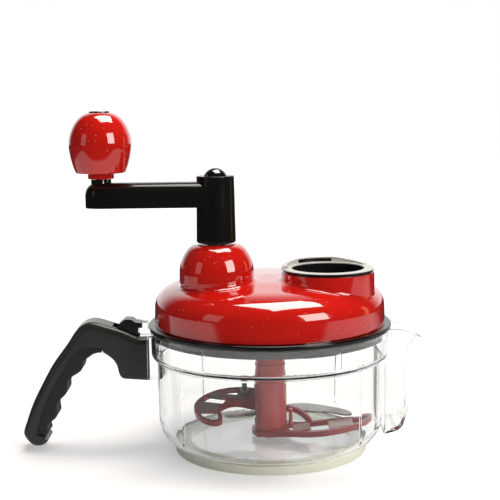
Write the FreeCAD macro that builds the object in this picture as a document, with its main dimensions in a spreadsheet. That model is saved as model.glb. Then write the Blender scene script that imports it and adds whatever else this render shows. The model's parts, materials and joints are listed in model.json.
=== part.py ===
"""Hand-cranked food processor: clear bowl with side handle, geared lid, crank with knob, bladed tool.

Millimetres. The origin is the centre of the base ring's underside, on the bowl's axis. +Z is up,
the pouring lip points to +X, and the handle and the crank arm point to -X.
"""
import FreeCAD
import Part
import math
import os

import Sketcher
from FreeCAD import Placement, Rotation, Vector

# Driving dimensions, in millimetres and degrees. Each one can be changed by itself.
SIZES = {
    # Clearances
    "fit_gap": 0.15,
    "part_gap": 0.3,
    "running_gap": 0.05,
    "press_gap": 0.02,
    "ring_gap": 0.1,
    # Bowl and base ring
    "bowl_radius": 80.4,
    "rim_height": 87.4,
    "bowl_wall": 2.6,
    "band_step": 3.8,
    "rim_draft": 0.4,
    "low_draft": 0.7,
    "corner_inset": 9.7,
    "corner_height": 13.5,
    "corner_round": 21.0,
    "shelf_drop": 21.1,
    "shelf_rise": 2.7,
    "floor_top": 7.5,
    "floor_wall": 3.0,
    "foot_inset": 3.6,
    "foot_wall": 4.2,
    "ring_height": 6.5,
    "ring_web": 3.0,
    "ring_inset": 1.1,
    "ring_draft": 0.6,
    "rib_proud": 1.1,
    "rib_width": 1.2,
    "rib_foot": 14.0,
    "low_rib_angle": 50.0,
    "rear_rib_angle": 138.5,
    "lug_angle": 48.6,
    "lug_span": 31.0,
    "lug_height": 2.6,
    "lug_lift": 1.2,
    "lug_ring_gap": 0.5,
    "boss_radius": 6.0,
    "boss_rise": 4.5,
    "pin_radius": 3.0,
    "pin_rise": 26.5,
    "pin_chamfer": 0.8,
    # Pouring lip
    "spout_root_inset": 20.4,
    "spout_swell": 17.8,
    "spout_reach": 9.9,
    "spout_tip_drop": 9.4,
    "spout_neck_drop": 15.6,
    "spout_flare_drop": 31.0,
    "spout_floor_rise": 7.3,
    "spout_bend_rise": 14.0,
    "spout_bend_round": 20.0,
    "spout_root_half": 25.0,
    "spout_body_half": 10.0,
    "spout_tip_half": 3.6,
    "spout_wall": 2.4,
    # Handle
    "mount_gap": 0.7,
    "mount_drop": 6.0,
    "mount_length": 30.2,
    "rail_half": 3.6,
    "rail_head_half": 6.4,
    "rail_neck": 3.0,
    "rail_depth": 6.4,
    "rail_foot": 3.8,
    "rail_drop": 1.9,
    "handle_reach": 89.6,
    "handle_drop": 89.1,
    "handle_length": 77.5,
    "handle_half": 12.5,
    "handle_round": 4.5,
    "grip_half": 11.6,
    "grip_round": 2.0,
    "handle_nose_round": 2.5,
    "handle_screw_radius": 1.5,
    "handle_screw_head": 3.1,
    "handle_screw_length": 16.0,
    # Latch
    "latch_half": 6.3,
    "latch_reach": 12.8,
    "latch_pivot_drop": 4.9,
    "latch_pin_radius": 1.2,
    "latch_pin_half": 8.6,
    "latch_floor_drop": 3.1,
    "latch_pocket_length": 12.0,
    "lug_block_half": 5.0,
    "lug_block_rise": 3.9,
    "lug_tall_depth": 3.5,
    "lug_step_depth": 5.3,
    "lug_step_rise": 0.4,
    "spring_strip": 0.4,
    "spring_half": 2.5,
    "spring_tail": 11.2,
    # Lid base
    "lid_overhang": 1.4,
    "lid_seat_gap": 0.2,
    "flange_height": 3.4,
    "skirt_gap": 1.6,
    "skirt_wall": 2.3,
    "skirt_depth": 6.2,
    "lid_floor_drop": 2.0,
    "lid_floor_wall": 2.5,
    "tab_height": 1.0,
    "tab_proud": 1.2,
    "tab_span": 16.0,
    "lock_turn": 26.0,
    # Lid cover: each corner of its profile is an inset, a drop from the top and a round
    "cover_inset": 4.4,
    "cover_gap": 0.3,
    "cover_rise": 37.0,
    "cover_wall": 2.2,
    "crown_inset": 47.6,
    "crown_drop": 1.0,
    "crown_round": 110.0,
    "haunch_inset": 18.6,
    "haunch_drop": 4.2,
    "haunch_round": 40.0,
    "bend_inset": 6.8,
    "bend_drop": 8.6,
    "bend_round": 18.0,
    "shoulder_inset": 0.5,
    "shoulder_drop": 16.2,
    "shoulder_round": 13.0,
    "blend_round": 3.0,
    "spout_foot_inset": 5.6,
    "spout_foot_round": 7.0,
    "spout_bend_inset": 0.6,
    "spout_flare_round": 22.0,
    "spout_neck_out": 3.2,
    "spout_neck_round": 6.0,
    "spout_lip_inset": 4.4,
    "spout_lip_drop": 2.0,
    "spout_lip_round": 12.0,
    "spout_root_inset": 1.5,
    "ball_bend_rise": 7.9,
    "ball_bend": 25.0,
    "ball_neck_inset": 8.1,
    "ball_neck_round": 9.8,
    "hollow_cone_drop": 0.2,
    "hollow_cone_rise": 1.4,
    "hollow_bend_rise": 7.0,
    "hollow_bend": 17.0,
    "hollow_neck_inset": 6.8,
    "hollow_neck_round": 7.0,
    "socket_neck": 20.4,
    "socket_bend": 4.0,
    "socket_bend_drop": 1.6,
    "socket_neck_drop": 8.6,
    "socket_depth": 13.0,
    "screw_inset": 15.6,
    "screw_boss_radius": 3.8,
    "screw_boss_drop": 7.4,
    "screw_radius": 1.5,
    "screw_head_radius": 2.9,
    "screw_head_height": 1.8,
    "screw_length": 14.0,
    # Feed chute
    "chute_offset": 40.1,
    "chute_forward": 21.0,
    "chute_bore": 24.6,
    "chute_wall": 2.0,
    "collar_radius": 32.1,
    "collar_rise": 4.8,
    "band_height": 1.6,
    "chute_rim_radius": 31.8,
    "chute_rim_rise": 2.5,
    "chute_lip": 0.8,
    "hood_inner_radius": 27.9,
    "hood_rise": 3.3,
    "hood_start": 25.0,
    "hood_span": 162.0,
    "hood_slot_centre": 32.8,
    "hood_slot_half": 11.7,
    "hood_slot_sill": 0.3,
    "hood_roof": 0.8,
    "hood_wall": 1.2,
    "hood_ramp_start": 47.0,
    "hood_left_drop": 1.8,
    # Crank tower
    "tower_turn": 30.0,
    "tower_radius": 25.8,
    "tower_foot_radius": 20.6,
    "tower_foot_drop": 4.6,
    "tower_rise": 24.8,
    "tower_centre_rise": 5.0,
    "tower_wall": 2.5,
    "seam_rise": 1.3,
    "seam_tilt": 5.5,
    "bushing_wall": 2.9,
    "upper_bushing_length": 17.6,
    # Gear train
    "gear_module": 1.0,
    "gear_teeth": 66,
    "pinion_teeth": 18,
    "gear_lift": 8.4,
    "gear_width": 8.0,
    "gear_backlash": 0.18,
    "gear_web": 3.0,
    "gear_hub_radius": 10.0,
    "gear_rim": 4.0,
    "shaft_foot_radius": 4.0,
    "shaft_radius": 6.0,
    "shaft_hex": 5.4,
    "shaft_square": 8.0,
    "shaft_drop": 14.6,
    "clip_radius": 8.6,
    "clip_height": 1.0,
    # Drive to the tool
    "coupling_hex": 6.2,
    "coupling_length": 24.0,
    "coupling_radius": 6.8,
    "coupling_flange_radius": 8.8,
    "coupling_flange_height": 2.0,
    "coupling_flange_gap": 0.4,
    "pinion_hex": 5.0,
    "pinion_lift": 3.5,
    "drive_boss_drop": 5.6,
    "drive_boss_radius": 11.4,
    # Crank arm
    "hub_gap": 1.0,
    "hub_height": 45.7,
    "hub_low_radius": 13.6,
    "hub_radius": 12.9,
    "crank_radius": 77.7,
    "arm_lift": 24.9,
    "arm_height": 16.9,
    "arm_end_radius": 11.2,
    "arm_bevel": 7.8,
    "hub_cap_radius": 8.0,
    "hub_cap_rise": 5.4,
    "hub_pocket_radius": 7.5,
    "crank_screw_head": 6.0,
    "crank_screw_radius": 2.0,
    # Knob
    "post_radius": 6.9,
    "post_rise": 2.5,
    "post_slot": 3.2,
    "knob_gap": 0.4,
    "knob_collar_radius": 8.9,
    "knob_collar_height": 3.9,
    "knob_radius": 21.3,
    "knob_foot_radius": 16.8,
    "knob_belt_rise": 19.3,
    "knob_height": 40.6,
    "knob_cap_radius": 7.2,
    "knob_cap_rise": 1.1,
    "knob_cap_depth": 2.8,
    "spindle_radius": 4.0,
    "spindle_depth": 13.2,
    "spindle_head_radius": 5.6,
    "spindle_head_height": 2.8,
    "spindle_head_drop": 8.6,
    # Tool in the bowl
    "tube_radius": 11.6,
    "tube_bore": 9.0,
    "tube_bottom": 8.9,
    "tube_neck_radius": 10.4,
    "tube_gap": 6.0,
    "tube_neck_drop": 14.0,
    "tube_taper": 12.0,
    "socket_gap": 4.0,
    "tube_web": 10.0,
    "frame_height": 3.8,
    "frame_bar": 1.6,
    "frame_web": 2.8,
    "frame_rim": 2.2,
    "low_frame_lift": 1.4,
    "low_frame_reach": 73.0,
    "low_frame_disc": 13.6,
    "low_frame_tilt": 8.0,
    "high_frame_lift": 17.5,
    "high_frame_reach": 55.0,
    "high_frame_tilt": 16.7,
    "arch_reach": 32.6,
    "arch_rise": 18.2,
    "blade_lift": 14.0,
    "blade_wall": 1.2,
    "peg_radius": 1.9,
    "upper_peg_height": 9.5,
    "lower_peg_height": 12.0,
}

# Angles about the bowl are counted from the front, which is the -Y side
FRONT = 270.0
PANEL_RIB_TURN = 1.5

doc = FreeCAD.newDocument("food_processor")
sheet = doc.addObject("Spreadsheet::Sheet", "Sizes")
for row, (alias, value) in enumerate(SIZES.items(), start=1):
    sheet.set(f"A{row}", alias)
    sheet.set(f"B{row}", str(value))
    sheet.setAlias(f"B{row}", alias)
doc.recompute()


class Size:
    """A number together with the sheet formula that it comes from."""

    def __init__(self, number, formula):
        self.number = number
        self.formula = formula

    def __float__(self):
        return float(self.number)

    def __add__(self, other):
        other = as_size(other)
        return Size(self.number + other.number, f"({self.formula} + {other.formula})")

    def __sub__(self, other):
        other = as_size(other)
        return Size(self.number - other.number, f"({self.formula} - {other.formula})")

    def __mul__(self, other):
        other = as_size(other)
        return Size(self.number * other.number, f"({self.formula} * {other.formula})")

    def __truediv__(self, other):
        other = as_size(other)
        return Size(self.number / other.number, f"({self.formula} / {other.formula})")

    def __neg__(self):
        return Size(-self.number, f"(-1 * {self.formula})")

    def __radd__(self, other):
        return as_size(other) + self

    def __rsub__(self, other):
        return as_size(other) - self

    def __rmul__(self, other):
        return as_size(other) * self


def as_size(value):
    """A plain number becomes a size whose formula is that number."""
    if isinstance(value, Size):
        return value
    return Size(float(value), repr(float(value)))


class Sheet:
    """Reads a size from the sheet by its name."""

    def __getattr__(self, name):
        return Size(float(sheet.get(name)), f"Sizes.{name}")


s = Sheet()

# Sizes that follow from the driving ones: radii of the bowl and of its lid
s.bowl_low_radius = s.bowl_radius - s.low_draft
s.band_radius = s.bowl_radius + s.band_step
s.rim_radius = s.band_radius + s.rim_draft
s.corner_low_radius = s.bowl_low_radius - s.corner_inset
s.foot_outer_radius = s.corner_low_radius - s.foot_inset
s.foot_inner_radius = s.foot_outer_radius - s.foot_wall
s.ring_top_radius = s.corner_low_radius - s.ring_inset
s.ring_bottom_radius = s.ring_top_radius - s.ring_draft
s.ring_inner_radius = s.foot_inner_radius - s.foot_wall
s.lid_radius = s.rim_radius + s.lid_overhang
s.skirt_radius = s.rim_radius - s.bowl_wall - s.skirt_gap
s.lug_inner_radius = s.skirt_radius + s.lug_ring_gap
s.cover_radius = s.lid_radius - s.cover_inset
s.screw_circle = s.cover_radius - s.screw_inset
s.mount_face = s.lid_radius + s.mount_gap
s.spout_root = s.bowl_radius - s.spout_root_inset
s.spout_body = s.bowl_radius + s.spout_swell
s.spout_tip = s.spout_body + s.spout_reach
s.lug_tall_reach = s.mount_face + s.lug_tall_depth
s.lug_step_reach = s.mount_face + s.lug_step_depth
s.latch_pivot_reach = s.mount_face + s.latch_reach
s.latch_pocket_end = s.latch_pivot_reach + s.latch_pocket_length

# Heights of the bowl and of its handle
s.shelf_height = s.rim_height - s.shelf_drop
s.boss_top = s.floor_top + s.boss_rise
s.pin_top = s.floor_top + s.pin_rise
s.spout_tip_height = s.rim_height - s.spout_tip_drop
s.spout_neck_height = s.rim_height - s.spout_neck_drop
s.spout_flare_height = s.rim_height - s.spout_flare_drop
s.spout_floor = s.ring_height + s.spout_floor_rise
s.spout_bend_height = s.spout_floor + s.spout_bend_rise
s.mount_top = s.rim_height - s.mount_drop
s.mount_bottom = s.mount_top - s.mount_length
s.rail_top = s.mount_top - s.rail_drop
s.rail_bottom = s.mount_bottom + s.rail_foot
s.handle_bottom = s.mount_top - s.handle_length
s.latch_pivot_height = s.rim_height - s.latch_pivot_drop
s.latch_floor = s.latch_pivot_height - s.latch_floor_drop
s.lug_block_top = s.rim_height + s.lug_block_rise
s.lug_step_top = s.rim_height + s.lug_step_rise

# Heights of the lid, its chute and its tower
s.flange_bottom = s.rim_height + s.lid_seat_gap
s.flange_top = s.flange_bottom + s.flange_height
s.skirt_bottom = s.flange_bottom - s.skirt_depth
s.lug_bottom = s.skirt_bottom + s.lug_lift
s.lug_top = s.lug_bottom + s.lug_height
s.lid_floor_bottom = s.flange_bottom - s.lid_floor_drop
s.lid_floor_top = s.lid_floor_bottom + s.lid_floor_wall
s.cover_bottom = s.flange_top + s.cover_gap
s.cover_top = s.flange_bottom + s.cover_rise
s.collar_top = s.cover_top + s.collar_rise
s.band_top = s.collar_top + s.band_height
s.chute_rim_top = s.collar_top + s.chute_rim_rise
s.liner_top = s.chute_rim_top - s.chute_lip
s.hood_top = s.chute_rim_top + s.hood_rise
s.chute_x = s.chute_offset * 1
s.chute_y = -s.chute_forward
s.chute_outer = s.chute_bore + s.chute_wall
s.tower_foot = s.cover_top - s.tower_foot_drop
s.tower_centre = s.cover_top + s.tower_centre_rise
s.tower_top = s.cover_top + s.tower_rise
s.seam_height = s.cover_top + s.seam_rise

# The crank gear and the pinion set how far the tower stands from the bowl's axis
s.axis_distance = s.gear_module * (s.gear_teeth + s.pinion_teeth) / 2
s.tower_x = -(s.axis_distance * round(math.cos(math.radians(SIZES["tower_turn"])), 9))
s.tower_y = -(s.axis_distance * round(math.sin(math.radians(SIZES["tower_turn"])), 9))
s.knob_x = s.tower_x - s.crank_radius
s.gear_bottom = s.lid_floor_top + s.gear_lift
s.gear_top = s.gear_bottom + s.gear_width
s.upper_bushing_bottom = s.tower_top - s.upper_bushing_length
s.shaft_bore = s.shaft_radius + s.running_gap
s.foot_bore = s.shaft_foot_radius + s.running_gap
s.drive_bore = s.coupling_radius + s.running_gap
s.thin_bushing = s.bushing_wall / 2
s.drive_boss_bottom = s.lid_floor_bottom - s.drive_boss_drop
s.drive_boss_top = s.gear_bottom - s.pinion_lift
s.coupling_flange_top = s.drive_boss_bottom - s.coupling_flange_gap
s.coupling_flange_bottom = s.coupling_flange_top - s.coupling_flange_height
s.coupling_bottom = s.drive_boss_bottom - s.coupling_length

# Heights of the crank and of its knob
s.hub_bottom = s.tower_top + s.hub_gap
s.hub_top = s.hub_bottom + s.hub_height
s.shaft_top = s.hub_top - s.shaft_drop
s.hub_cap_top = s.hub_top + s.hub_cap_rise
s.arm_bottom = s.hub_bottom + s.arm_lift
s.arm_top = s.arm_bottom + s.arm_height
s.post_top = s.arm_top + s.post_rise
s.knob_collar_bottom = s.post_top + s.knob_gap
s.knob_bottom = s.knob_collar_bottom + s.knob_collar_height
s.knob_belt = s.knob_bottom + s.knob_belt_rise
s.knob_top = s.knob_bottom + s.knob_height
s.knob_cap_top = s.knob_top + s.knob_cap_rise
s.knob_cap_seat = s.knob_top - s.knob_cap_depth
s.spindle_bottom = s.arm_top - s.spindle_depth
s.spindle_shoulder = s.knob_top - s.spindle_head_drop
s.spindle_head_top = s.spindle_shoulder + s.spindle_head_height

# Heights of the tool
s.tube_top = s.drive_boss_bottom - s.tube_gap
s.tube_neck_height = s.tube_top - s.tube_neck_drop
s.tube_taper_height = s.tube_neck_height - s.tube_taper
s.socket_bottom = s.coupling_bottom - s.socket_gap
s.tube_web_bottom = s.socket_bottom - s.tube_web
s.low_frame_height = s.tube_bottom + s.low_frame_lift
s.high_frame_height = s.tube_bottom + s.high_frame_lift
s.arch_head = s.low_frame_height + s.arch_rise
s.blade_height = s.tube_bottom + s.blade_lift

nodes = {}


# Helpers that make and place shapes

def tie(obj, prop, value):
    """Set a property and bind it to its formula in the sheet."""
    value = as_size(value)
    if not prop.startswith((".", "Constraints")):
        setattr(obj, prop, value.number)
    if "Sizes." in value.formula:
        obj.setExpression(prop, value.formula)


def place(obj, x=0, y=0, z=0, turn=None):
    """Put an object at a point, with an optional rotation."""
    spot = [as_size(v) for v in (x, y, z)]
    obj.Placement = Placement(Vector(*[v.number for v in spot]), turn or Rotation())
    for axis, value in zip("xyz", spot):
        if "Sizes." in value.formula:
            obj.setExpression(f".Placement.Base.{axis}", value.formula)
    return obj


def body_plane(body, role):
    """One of a body's own origin planes."""
    return next(f for f in body.Origin.OriginFeatures if f.Role == role)


def hold_point(sketch, geometry, position, across, up):
    """Tie one sketch point to two sizes from the sketch's origin."""
    for kind, value in (("DistanceX", across), ("DistanceY", up)):
        value = as_size(value)
        index = sketch.addConstraint(Sketcher.Constraint(kind, -1, 1, geometry, position, value.number))
        if "Sizes." in value.formula:
            sketch.setExpression(f"Constraints[{index}]", value.formula)


def draw_outline(sketch, corners):
    """A closed outline through corners (across, up) or (across, up, round)."""
    count = len(corners)
    spots = [Vector(float(c[0]), float(c[1]), 0) for c in corners]
    arcs = {}
    leave = list(spots)
    arrive = list(spots)
    for i, corner in enumerate(corners):
        if len(corner) < 3:
            continue
        back = (spots[i - 1] - spots[i]).normalize()
        ahead = (spots[(i + 1) % count] - spots[i]).normalize()
        half = back.getAngle(ahead) / 2
        radius = float(corner[2])
        arrive[i] = spots[i] + back * (radius / math.tan(half))
        leave[i] = spots[i] + ahead * (radius / math.tan(half))
        centre = spots[i] + (back + ahead).normalize() * (radius / math.sin(half))
        left_turn = (back * -1).cross(ahead).z > 0
        first, last = (arrive[i], leave[i]) if left_turn else (leave[i], arrive[i])
        angles = [math.atan2(p.y - centre.y, p.x - centre.x) for p in (first, last)]
        circle = Part.Circle(centre, Vector(0, 0, 1), radius)
        arcs[i] = (Part.ArcOfCircle(circle, *angles), left_turn)
    lines = [
        sketch.addGeometry(Part.LineSegment(leave[i], arrive[(i + 1) % count]), False)
        for i in range(count)
    ]
    for i, corner in enumerate(corners):
        before, after = lines[i - 1], lines[i]
        if i not in arcs:
            sketch.addConstraint(Sketcher.Constraint("Coincident", before, 2, after, 1))
            hold_point(sketch, after, 1, corner[0], corner[1])
            continue
        arc, left_turn = arcs[i]
        curve = sketch.addGeometry(arc, False)
        mark = sketch.addGeometry(Part.Point(spots[i]), True)
        hold_point(sketch, mark, 1, corner[0], corner[1])
        sketch.addConstraint(Sketcher.Constraint("PointOnObject", mark, 1, before))
        sketch.addConstraint(Sketcher.Constraint("PointOnObject", mark, 1, after))
        starts, ends = (1, 2) if left_turn else (2, 1)
        sketch.addConstraint(Sketcher.Constraint("Tangent", before, 2, curve, starts))
        sketch.addConstraint(Sketcher.Constraint("Tangent", curve, ends, after, 1))
        radius = as_size(corner[2])
        index = sketch.addConstraint(Sketcher.Constraint("Radius", curve, radius.number))
        if "Sizes." in radius.formula:
            sketch.setExpression(f"Constraints[{index}]", radius.formula)


def sketched_body(label, role, corners):
    """A body with one sketch on its own origin plane."""
    body = doc.addObject("PartDesign::Body", "Body")
    body.Label = label
    sketch = body.newObject("Sketcher::SketchObject", "Profile")
    sketch.AttachmentSupport = [(body_plane(body, role), "")]
    sketch.MapMode = "FlatFace"
    draw_outline(sketch, corners)
    return body, sketch


def turned(label, corners, x=0, y=0, z=0):
    """A body turned about its own Z axis from a profile of (radius, height) corners."""
    body, sketch = sketched_body(label, "XZ_Plane", corners)
    feature = body.newObject("PartDesign::Revolution", "Turn")
    feature.Profile = sketch
    feature.ReferenceAxis = (sketch, ["V_Axis"])
    feature.Angle = 360.0
    return place(body, x, y, z)


def padded(label, corners, low, high, x=0, y=0):
    """A body padded upwards from a plan outline of (x, y) corners."""
    body, sketch = sketched_body(label, "XY_Plane", corners)
    feature = body.newObject("PartDesign::Pad", "Pad")
    feature.Profile = sketch
    tie(feature, "Length", as_size(high) - low)
    return place(body, x, y, low)


def side_padded(label, corners, half_width, y=0):
    """A body padded both ways along Y from an outline of (x, z) corners."""
    body, sketch = sketched_body(label, "XZ_Plane", corners)
    feature = body.newObject("PartDesign::Pad", "Pad")
    feature.Profile = sketch
    feature.Midplane = True
    tie(feature, "Length", as_size(half_width) * 2)
    return place(body, 0, y, 0)


def rod(radius, low, high, x=0, y=0):
    """An upright cylinder."""
    piece = doc.addObject("Part::Cylinder", "Rod")
    tie(piece, "Radius", radius)
    tie(piece, "Height", as_size(high) - low)
    return place(piece, x, y, low)


def cross_rod(radius, half_length, x, z, y=0):
    """A cylinder along Y, centred on the plane y."""
    piece = doc.addObject("Part::Cylinder", "CrossRod")
    tie(piece, "Radius", radius)
    tie(piece, "Height", as_size(half_length) * 2)
    return place(piece, x, as_size(y) + half_length, z, Rotation(Vector(1, 0, 0), 90))


def hexagon(circumradius, low, high, x=0, y=0):
    """An upright hexagonal prism."""
    piece = doc.addObject("Part::Prism", "Hexagon")
    piece.Polygon = 6
    tie(piece, "Circumradius", circumradius)
    tie(piece, "Height", as_size(high) - low)
    return place(piece, x, y, low)


def block(x_low, x_high, y_low, y_high, z_low, z_high):
    """A box between two corners."""
    piece = doc.addObject("Part::Box", "Block")
    tie(piece, "Length", as_size(x_high) - x_low)
    tie(piece, "Width", as_size(y_high) - y_low)
    tie(piece, "Height", as_size(z_high) - z_low)
    return place(piece, x_low, y_low, z_low)


def cut(base, *tools):
    """The base without its tools."""
    piece = doc.addObject("Part::Cut", "Cut")
    piece.Base = base
    piece.Tool = tools[0] if len(tools) == 1 else fuse(*tools)
    piece.Refine = True
    return piece


def fuse(*pieces):
    """Several pieces joined into one solid."""
    piece = doc.addObject("Part::MultiFuse", "Fusion")
    piece.Shapes = list(pieces)
    piece.Refine = True
    return piece


def common(*pieces):
    """What several pieces share."""
    piece = doc.addObject("Part::MultiCommon", "Common")
    piece.Shapes = list(pieces)
    piece.Refine = True
    return piece


def group(*pieces):
    """Separate solids that share one node."""
    piece = doc.addObject("Part::Compound", "Group")
    piece.Links = list(pieces)
    return piece


def sector(inner, outer, low, high, middle, span, x=0, y=0):
    """Part of an upright ring: its middle and span are angles about the ring's axis."""
    wedge = doc.addObject("Part::Cylinder", "Wedge")
    tie(wedge, "Radius", outer)
    tie(wedge, "Height", as_size(high) - low)
    tie(wedge, "Angle", span)
    start = float(middle) - float(span) / 2
    place(wedge, x, y, low, Rotation(Vector(0, 0, 1), start))
    margin = as_size(1)
    return cut(wedge, rod(inner, as_size(low) - margin, as_size(high) + margin, x, y))


def free_form(shape):
    """A piece whose shape is worked out here from the sheet's sizes."""
    piece = doc.addObject("Part::Feature", "Form")
    piece.Shape = shape
    return piece


def node(name, piece):
    """Name a finished sub-part."""
    piece.Label = name
    nodes[name] = piece
    return piece


def smooth_wire(points):
    """A closed smooth curve through points."""
    curve = Part.BSplineCurve()
    curve.interpolate(Points=points, PeriodicFlag=True)
    return Part.Wire([curve.toShape()])


def curve_through(points):
    """An open smooth edge through points."""
    curve = Part.BSplineCurve()
    curve.interpolate(Points=points)
    return curve.toShape()


# Bowl

def spout_form(inset, top_inset):
    """The pouring lip's bulge as a side outline crossed with a plan outline, drawn in by a wall."""
    side = side_padded("spout side", [
        (s.spout_root, s.spout_floor + inset),
        (s.spout_body - s.spout_foot_inset - inset, s.spout_floor + inset, s.spout_foot_round),
        (s.spout_body - s.spout_bend_inset - inset, s.spout_bend_height + inset * 0.3, s.spout_bend_round),
        (s.spout_body - inset, s.spout_flare_height, s.spout_flare_round),
        (s.spout_body + s.spout_neck_out - inset, s.spout_neck_height + inset * 0.4, s.spout_neck_round),
        (s.spout_tip - inset * 0.4, s.spout_tip_height + top_inset),
        (s.spout_body - s.spout_lip_inset, s.rim_height - s.spout_lip_drop + top_inset, s.spout_lip_round),
        (s.lid_radius - s.spout_root_inset, s.rim_height + top_inset),
        (s.spout_root, s.rim_height + top_inset),
    ], s.spout_root_half + 2)
    plan = padded("spout plan", [
        (s.spout_root, -(s.spout_root_half - inset)),
        (s.bowl_radius, -(s.spout_root_half - inset - 2), 8),
        (s.spout_body - inset * 0.5, -(s.spout_body_half - inset * 0.8), 6),
        (s.spout_tip + 1, -(s.spout_tip_half - inset * 0.8)),
        (s.spout_tip + 1, s.spout_tip_half - inset * 0.8),
        (s.spout_body - inset * 0.5, s.spout_body_half - inset * 0.8, 6),
        (s.bowl_radius, s.spout_root_half - inset - 2, 8),
        (s.spout_root, s.spout_root_half - inset),
    ], 0, s.rim_height + 20)
    return common(side, plan)


def bowl_outside():
    """The bowl's outer shape, solid."""
    low = s.ring_height + s.ring_gap
    return turned("bowl outside", [
        (0, s.floor_top - s.floor_wall),
        (s.foot_inner_radius, s.floor_top - s.floor_wall),
        (s.foot_inner_radius, s.ring_web + s.ring_gap),
        (s.foot_outer_radius, s.ring_web + s.ring_gap),
        (s.foot_outer_radius, low),
        (s.corner_low_radius, low),
        (s.bowl_low_radius, s.corner_height, s.corner_round),
        (s.bowl_radius, s.shelf_height, 1.5),
        (s.band_radius, s.shelf_height + s.shelf_rise, 2.5),
        (s.rim_radius, s.rim_height),
        (0, s.rim_height),
    ])


def bowl_inside():
    """The bowl's hollow."""
    return turned("bowl hollow", [
        (0, s.floor_top),
        (s.corner_low_radius - s.bowl_wall * 1.23, s.floor_top, 3),
        (s.bowl_low_radius - s.bowl_wall, s.corner_height + s.bowl_wall * 0.5, s.corner_round - s.bowl_wall),
        (s.bowl_radius - s.bowl_wall, s.shelf_height + s.bowl_wall * 0.4, 1.5),
        (s.band_radius - s.bowl_wall, s.shelf_height + s.shelf_rise + s.bowl_wall * 0.4, 2.5),
        (s.rim_radius - s.bowl_wall, s.rim_height),
        (s.rim_radius - s.bowl_wall, s.rim_height + 20),
        (0, s.rim_height + 20),
    ])


def lug_middles():
    """Angles of the four locking lugs, two towards the front and two towards the back."""
    lug = float(s.lug_angle)
    return [FRONT + side * turn for side in (-1, 1) for turn in (lug, 180 - lug)]


def bowl_trim():
    """Locking lugs and upright ribs inside the bowl's wall."""
    band_wall = s.band_radius - s.bowl_wall / 2
    low_wall = s.bowl_low_radius - s.bowl_wall / 2
    half = float(s.lug_span) / 2
    pieces = [
        sector(s.lug_inner_radius, band_wall, s.lug_bottom, s.lug_top, middle, s.lug_span)
        for middle in lug_middles()
    ]
    for side in (-1, 1):
        near = FRONT + side * (float(s.lug_angle) - half)
        far = FRONT + side * (180 - float(s.lug_angle) + half)
        panel = FRONT + side * (float(s.lug_angle) + half + PANEL_RIB_TURN)
        for middle in (near, far, panel):
            span = s.rib_width / s.band_radius * math.degrees(1)
            foot = s.shelf_height + s.shelf_rise + s.bowl_wall
            pieces.append(sector(s.band_radius - s.bowl_wall - s.rib_proud * 0.6, band_wall, foot,
                                 s.lug_bottom, middle, span))
        for angle in (s.low_rib_angle, s.rear_rib_angle):
            middle = FRONT + side * float(angle)
            span = s.rib_width / s.bowl_radius * math.degrees(1)
            inner = s.bowl_low_radius - s.bowl_wall - s.rib_proud
            pieces.append(sector(inner, low_wall, s.rib_foot, s.shelf_height, middle, span))
    return pieces


def handle_rail():
    """The rail that the handle slides onto, and the lug that its latch hooks."""
    neck_end = -(s.mount_face + s.rail_neck)
    head_end = -(s.mount_face + s.rail_depth)
    wall = -(s.bowl_radius - s.bowl_wall / 2)
    band_wall = -(s.band_radius - s.bowl_wall / 2)
    pad_half = s.rail_head_half + 3
    pad = block(-s.mount_face, wall, -pad_half, pad_half, s.mount_bottom, s.mount_top)
    neck = block(neck_end, wall, -s.rail_half, s.rail_half, s.rail_bottom, s.rail_top)
    head = block(head_end, neck_end, -s.rail_head_half, s.rail_head_half, s.rail_bottom, s.rail_top)
    tall_foot = s.mount_top + s.part_gap
    tall = block(-s.lug_tall_reach, -(s.lid_radius + 0.6), -s.lug_block_half, s.lug_block_half,
                 tall_foot, s.lug_block_top)
    web = block(-s.lug_tall_reach, band_wall, -s.lug_block_half, s.lug_block_half,
                tall_foot, s.rim_height - 0.5)
    step = block(-s.lug_step_reach, -s.lug_tall_reach, -s.lug_block_half, s.lug_block_half,
                 tall_foot, s.lug_step_top)
    return pad, neck, head, tall, web, step


def make_bowl():
    hollow = fuse(bowl_inside(), spout_form(s.spout_wall, as_size(5)))
    outer_spout = spout_form(as_size(0), as_size(0))
    outside = fuse(bowl_outside(), outer_spout, *handle_rail())
    shell = cut(outside, hollow)
    boss = rod(s.boss_radius, s.floor_top - 1, s.boss_top)
    pin_hole = rod(s.pin_radius + s.press_gap, s.floor_top - s.floor_wall / 2, s.boss_top + 1)
    node("bowl", cut(fuse(shell, boss, *bowl_trim()), pin_hole))


def make_base_ring():
    gap = s.ring_gap
    node("base_ring", turned("base ring", [
        (s.ring_inner_radius, 0),
        (s.ring_bottom_radius, 0),
        (s.ring_top_radius, s.ring_height),
        (s.foot_outer_radius + gap, s.ring_height),
        (s.foot_outer_radius + gap, s.ring_web),
        (s.foot_inner_radius - gap, s.ring_web),
        (s.foot_inner_radius - gap, s.floor_top - s.floor_wall - gap),
        (s.ring_inner_radius, s.floor_top - s.floor_wall - gap),
    ]))


def make_pivot_pin():
    node("pivot_pin", turned("pivot pin", [
        (0, s.floor_top - s.floor_wall / 2),
        (s.pin_radius, s.floor_top - s.floor_wall / 2),
        (s.pin_radius, s.pin_top - s.pin_chamfer),
        (s.pin_radius - s.pin_chamfer, s.pin_top),
        (0, s.pin_top),
    ]))


# Handle and latch. Outline points are shares of the handle's reach and drop.

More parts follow.
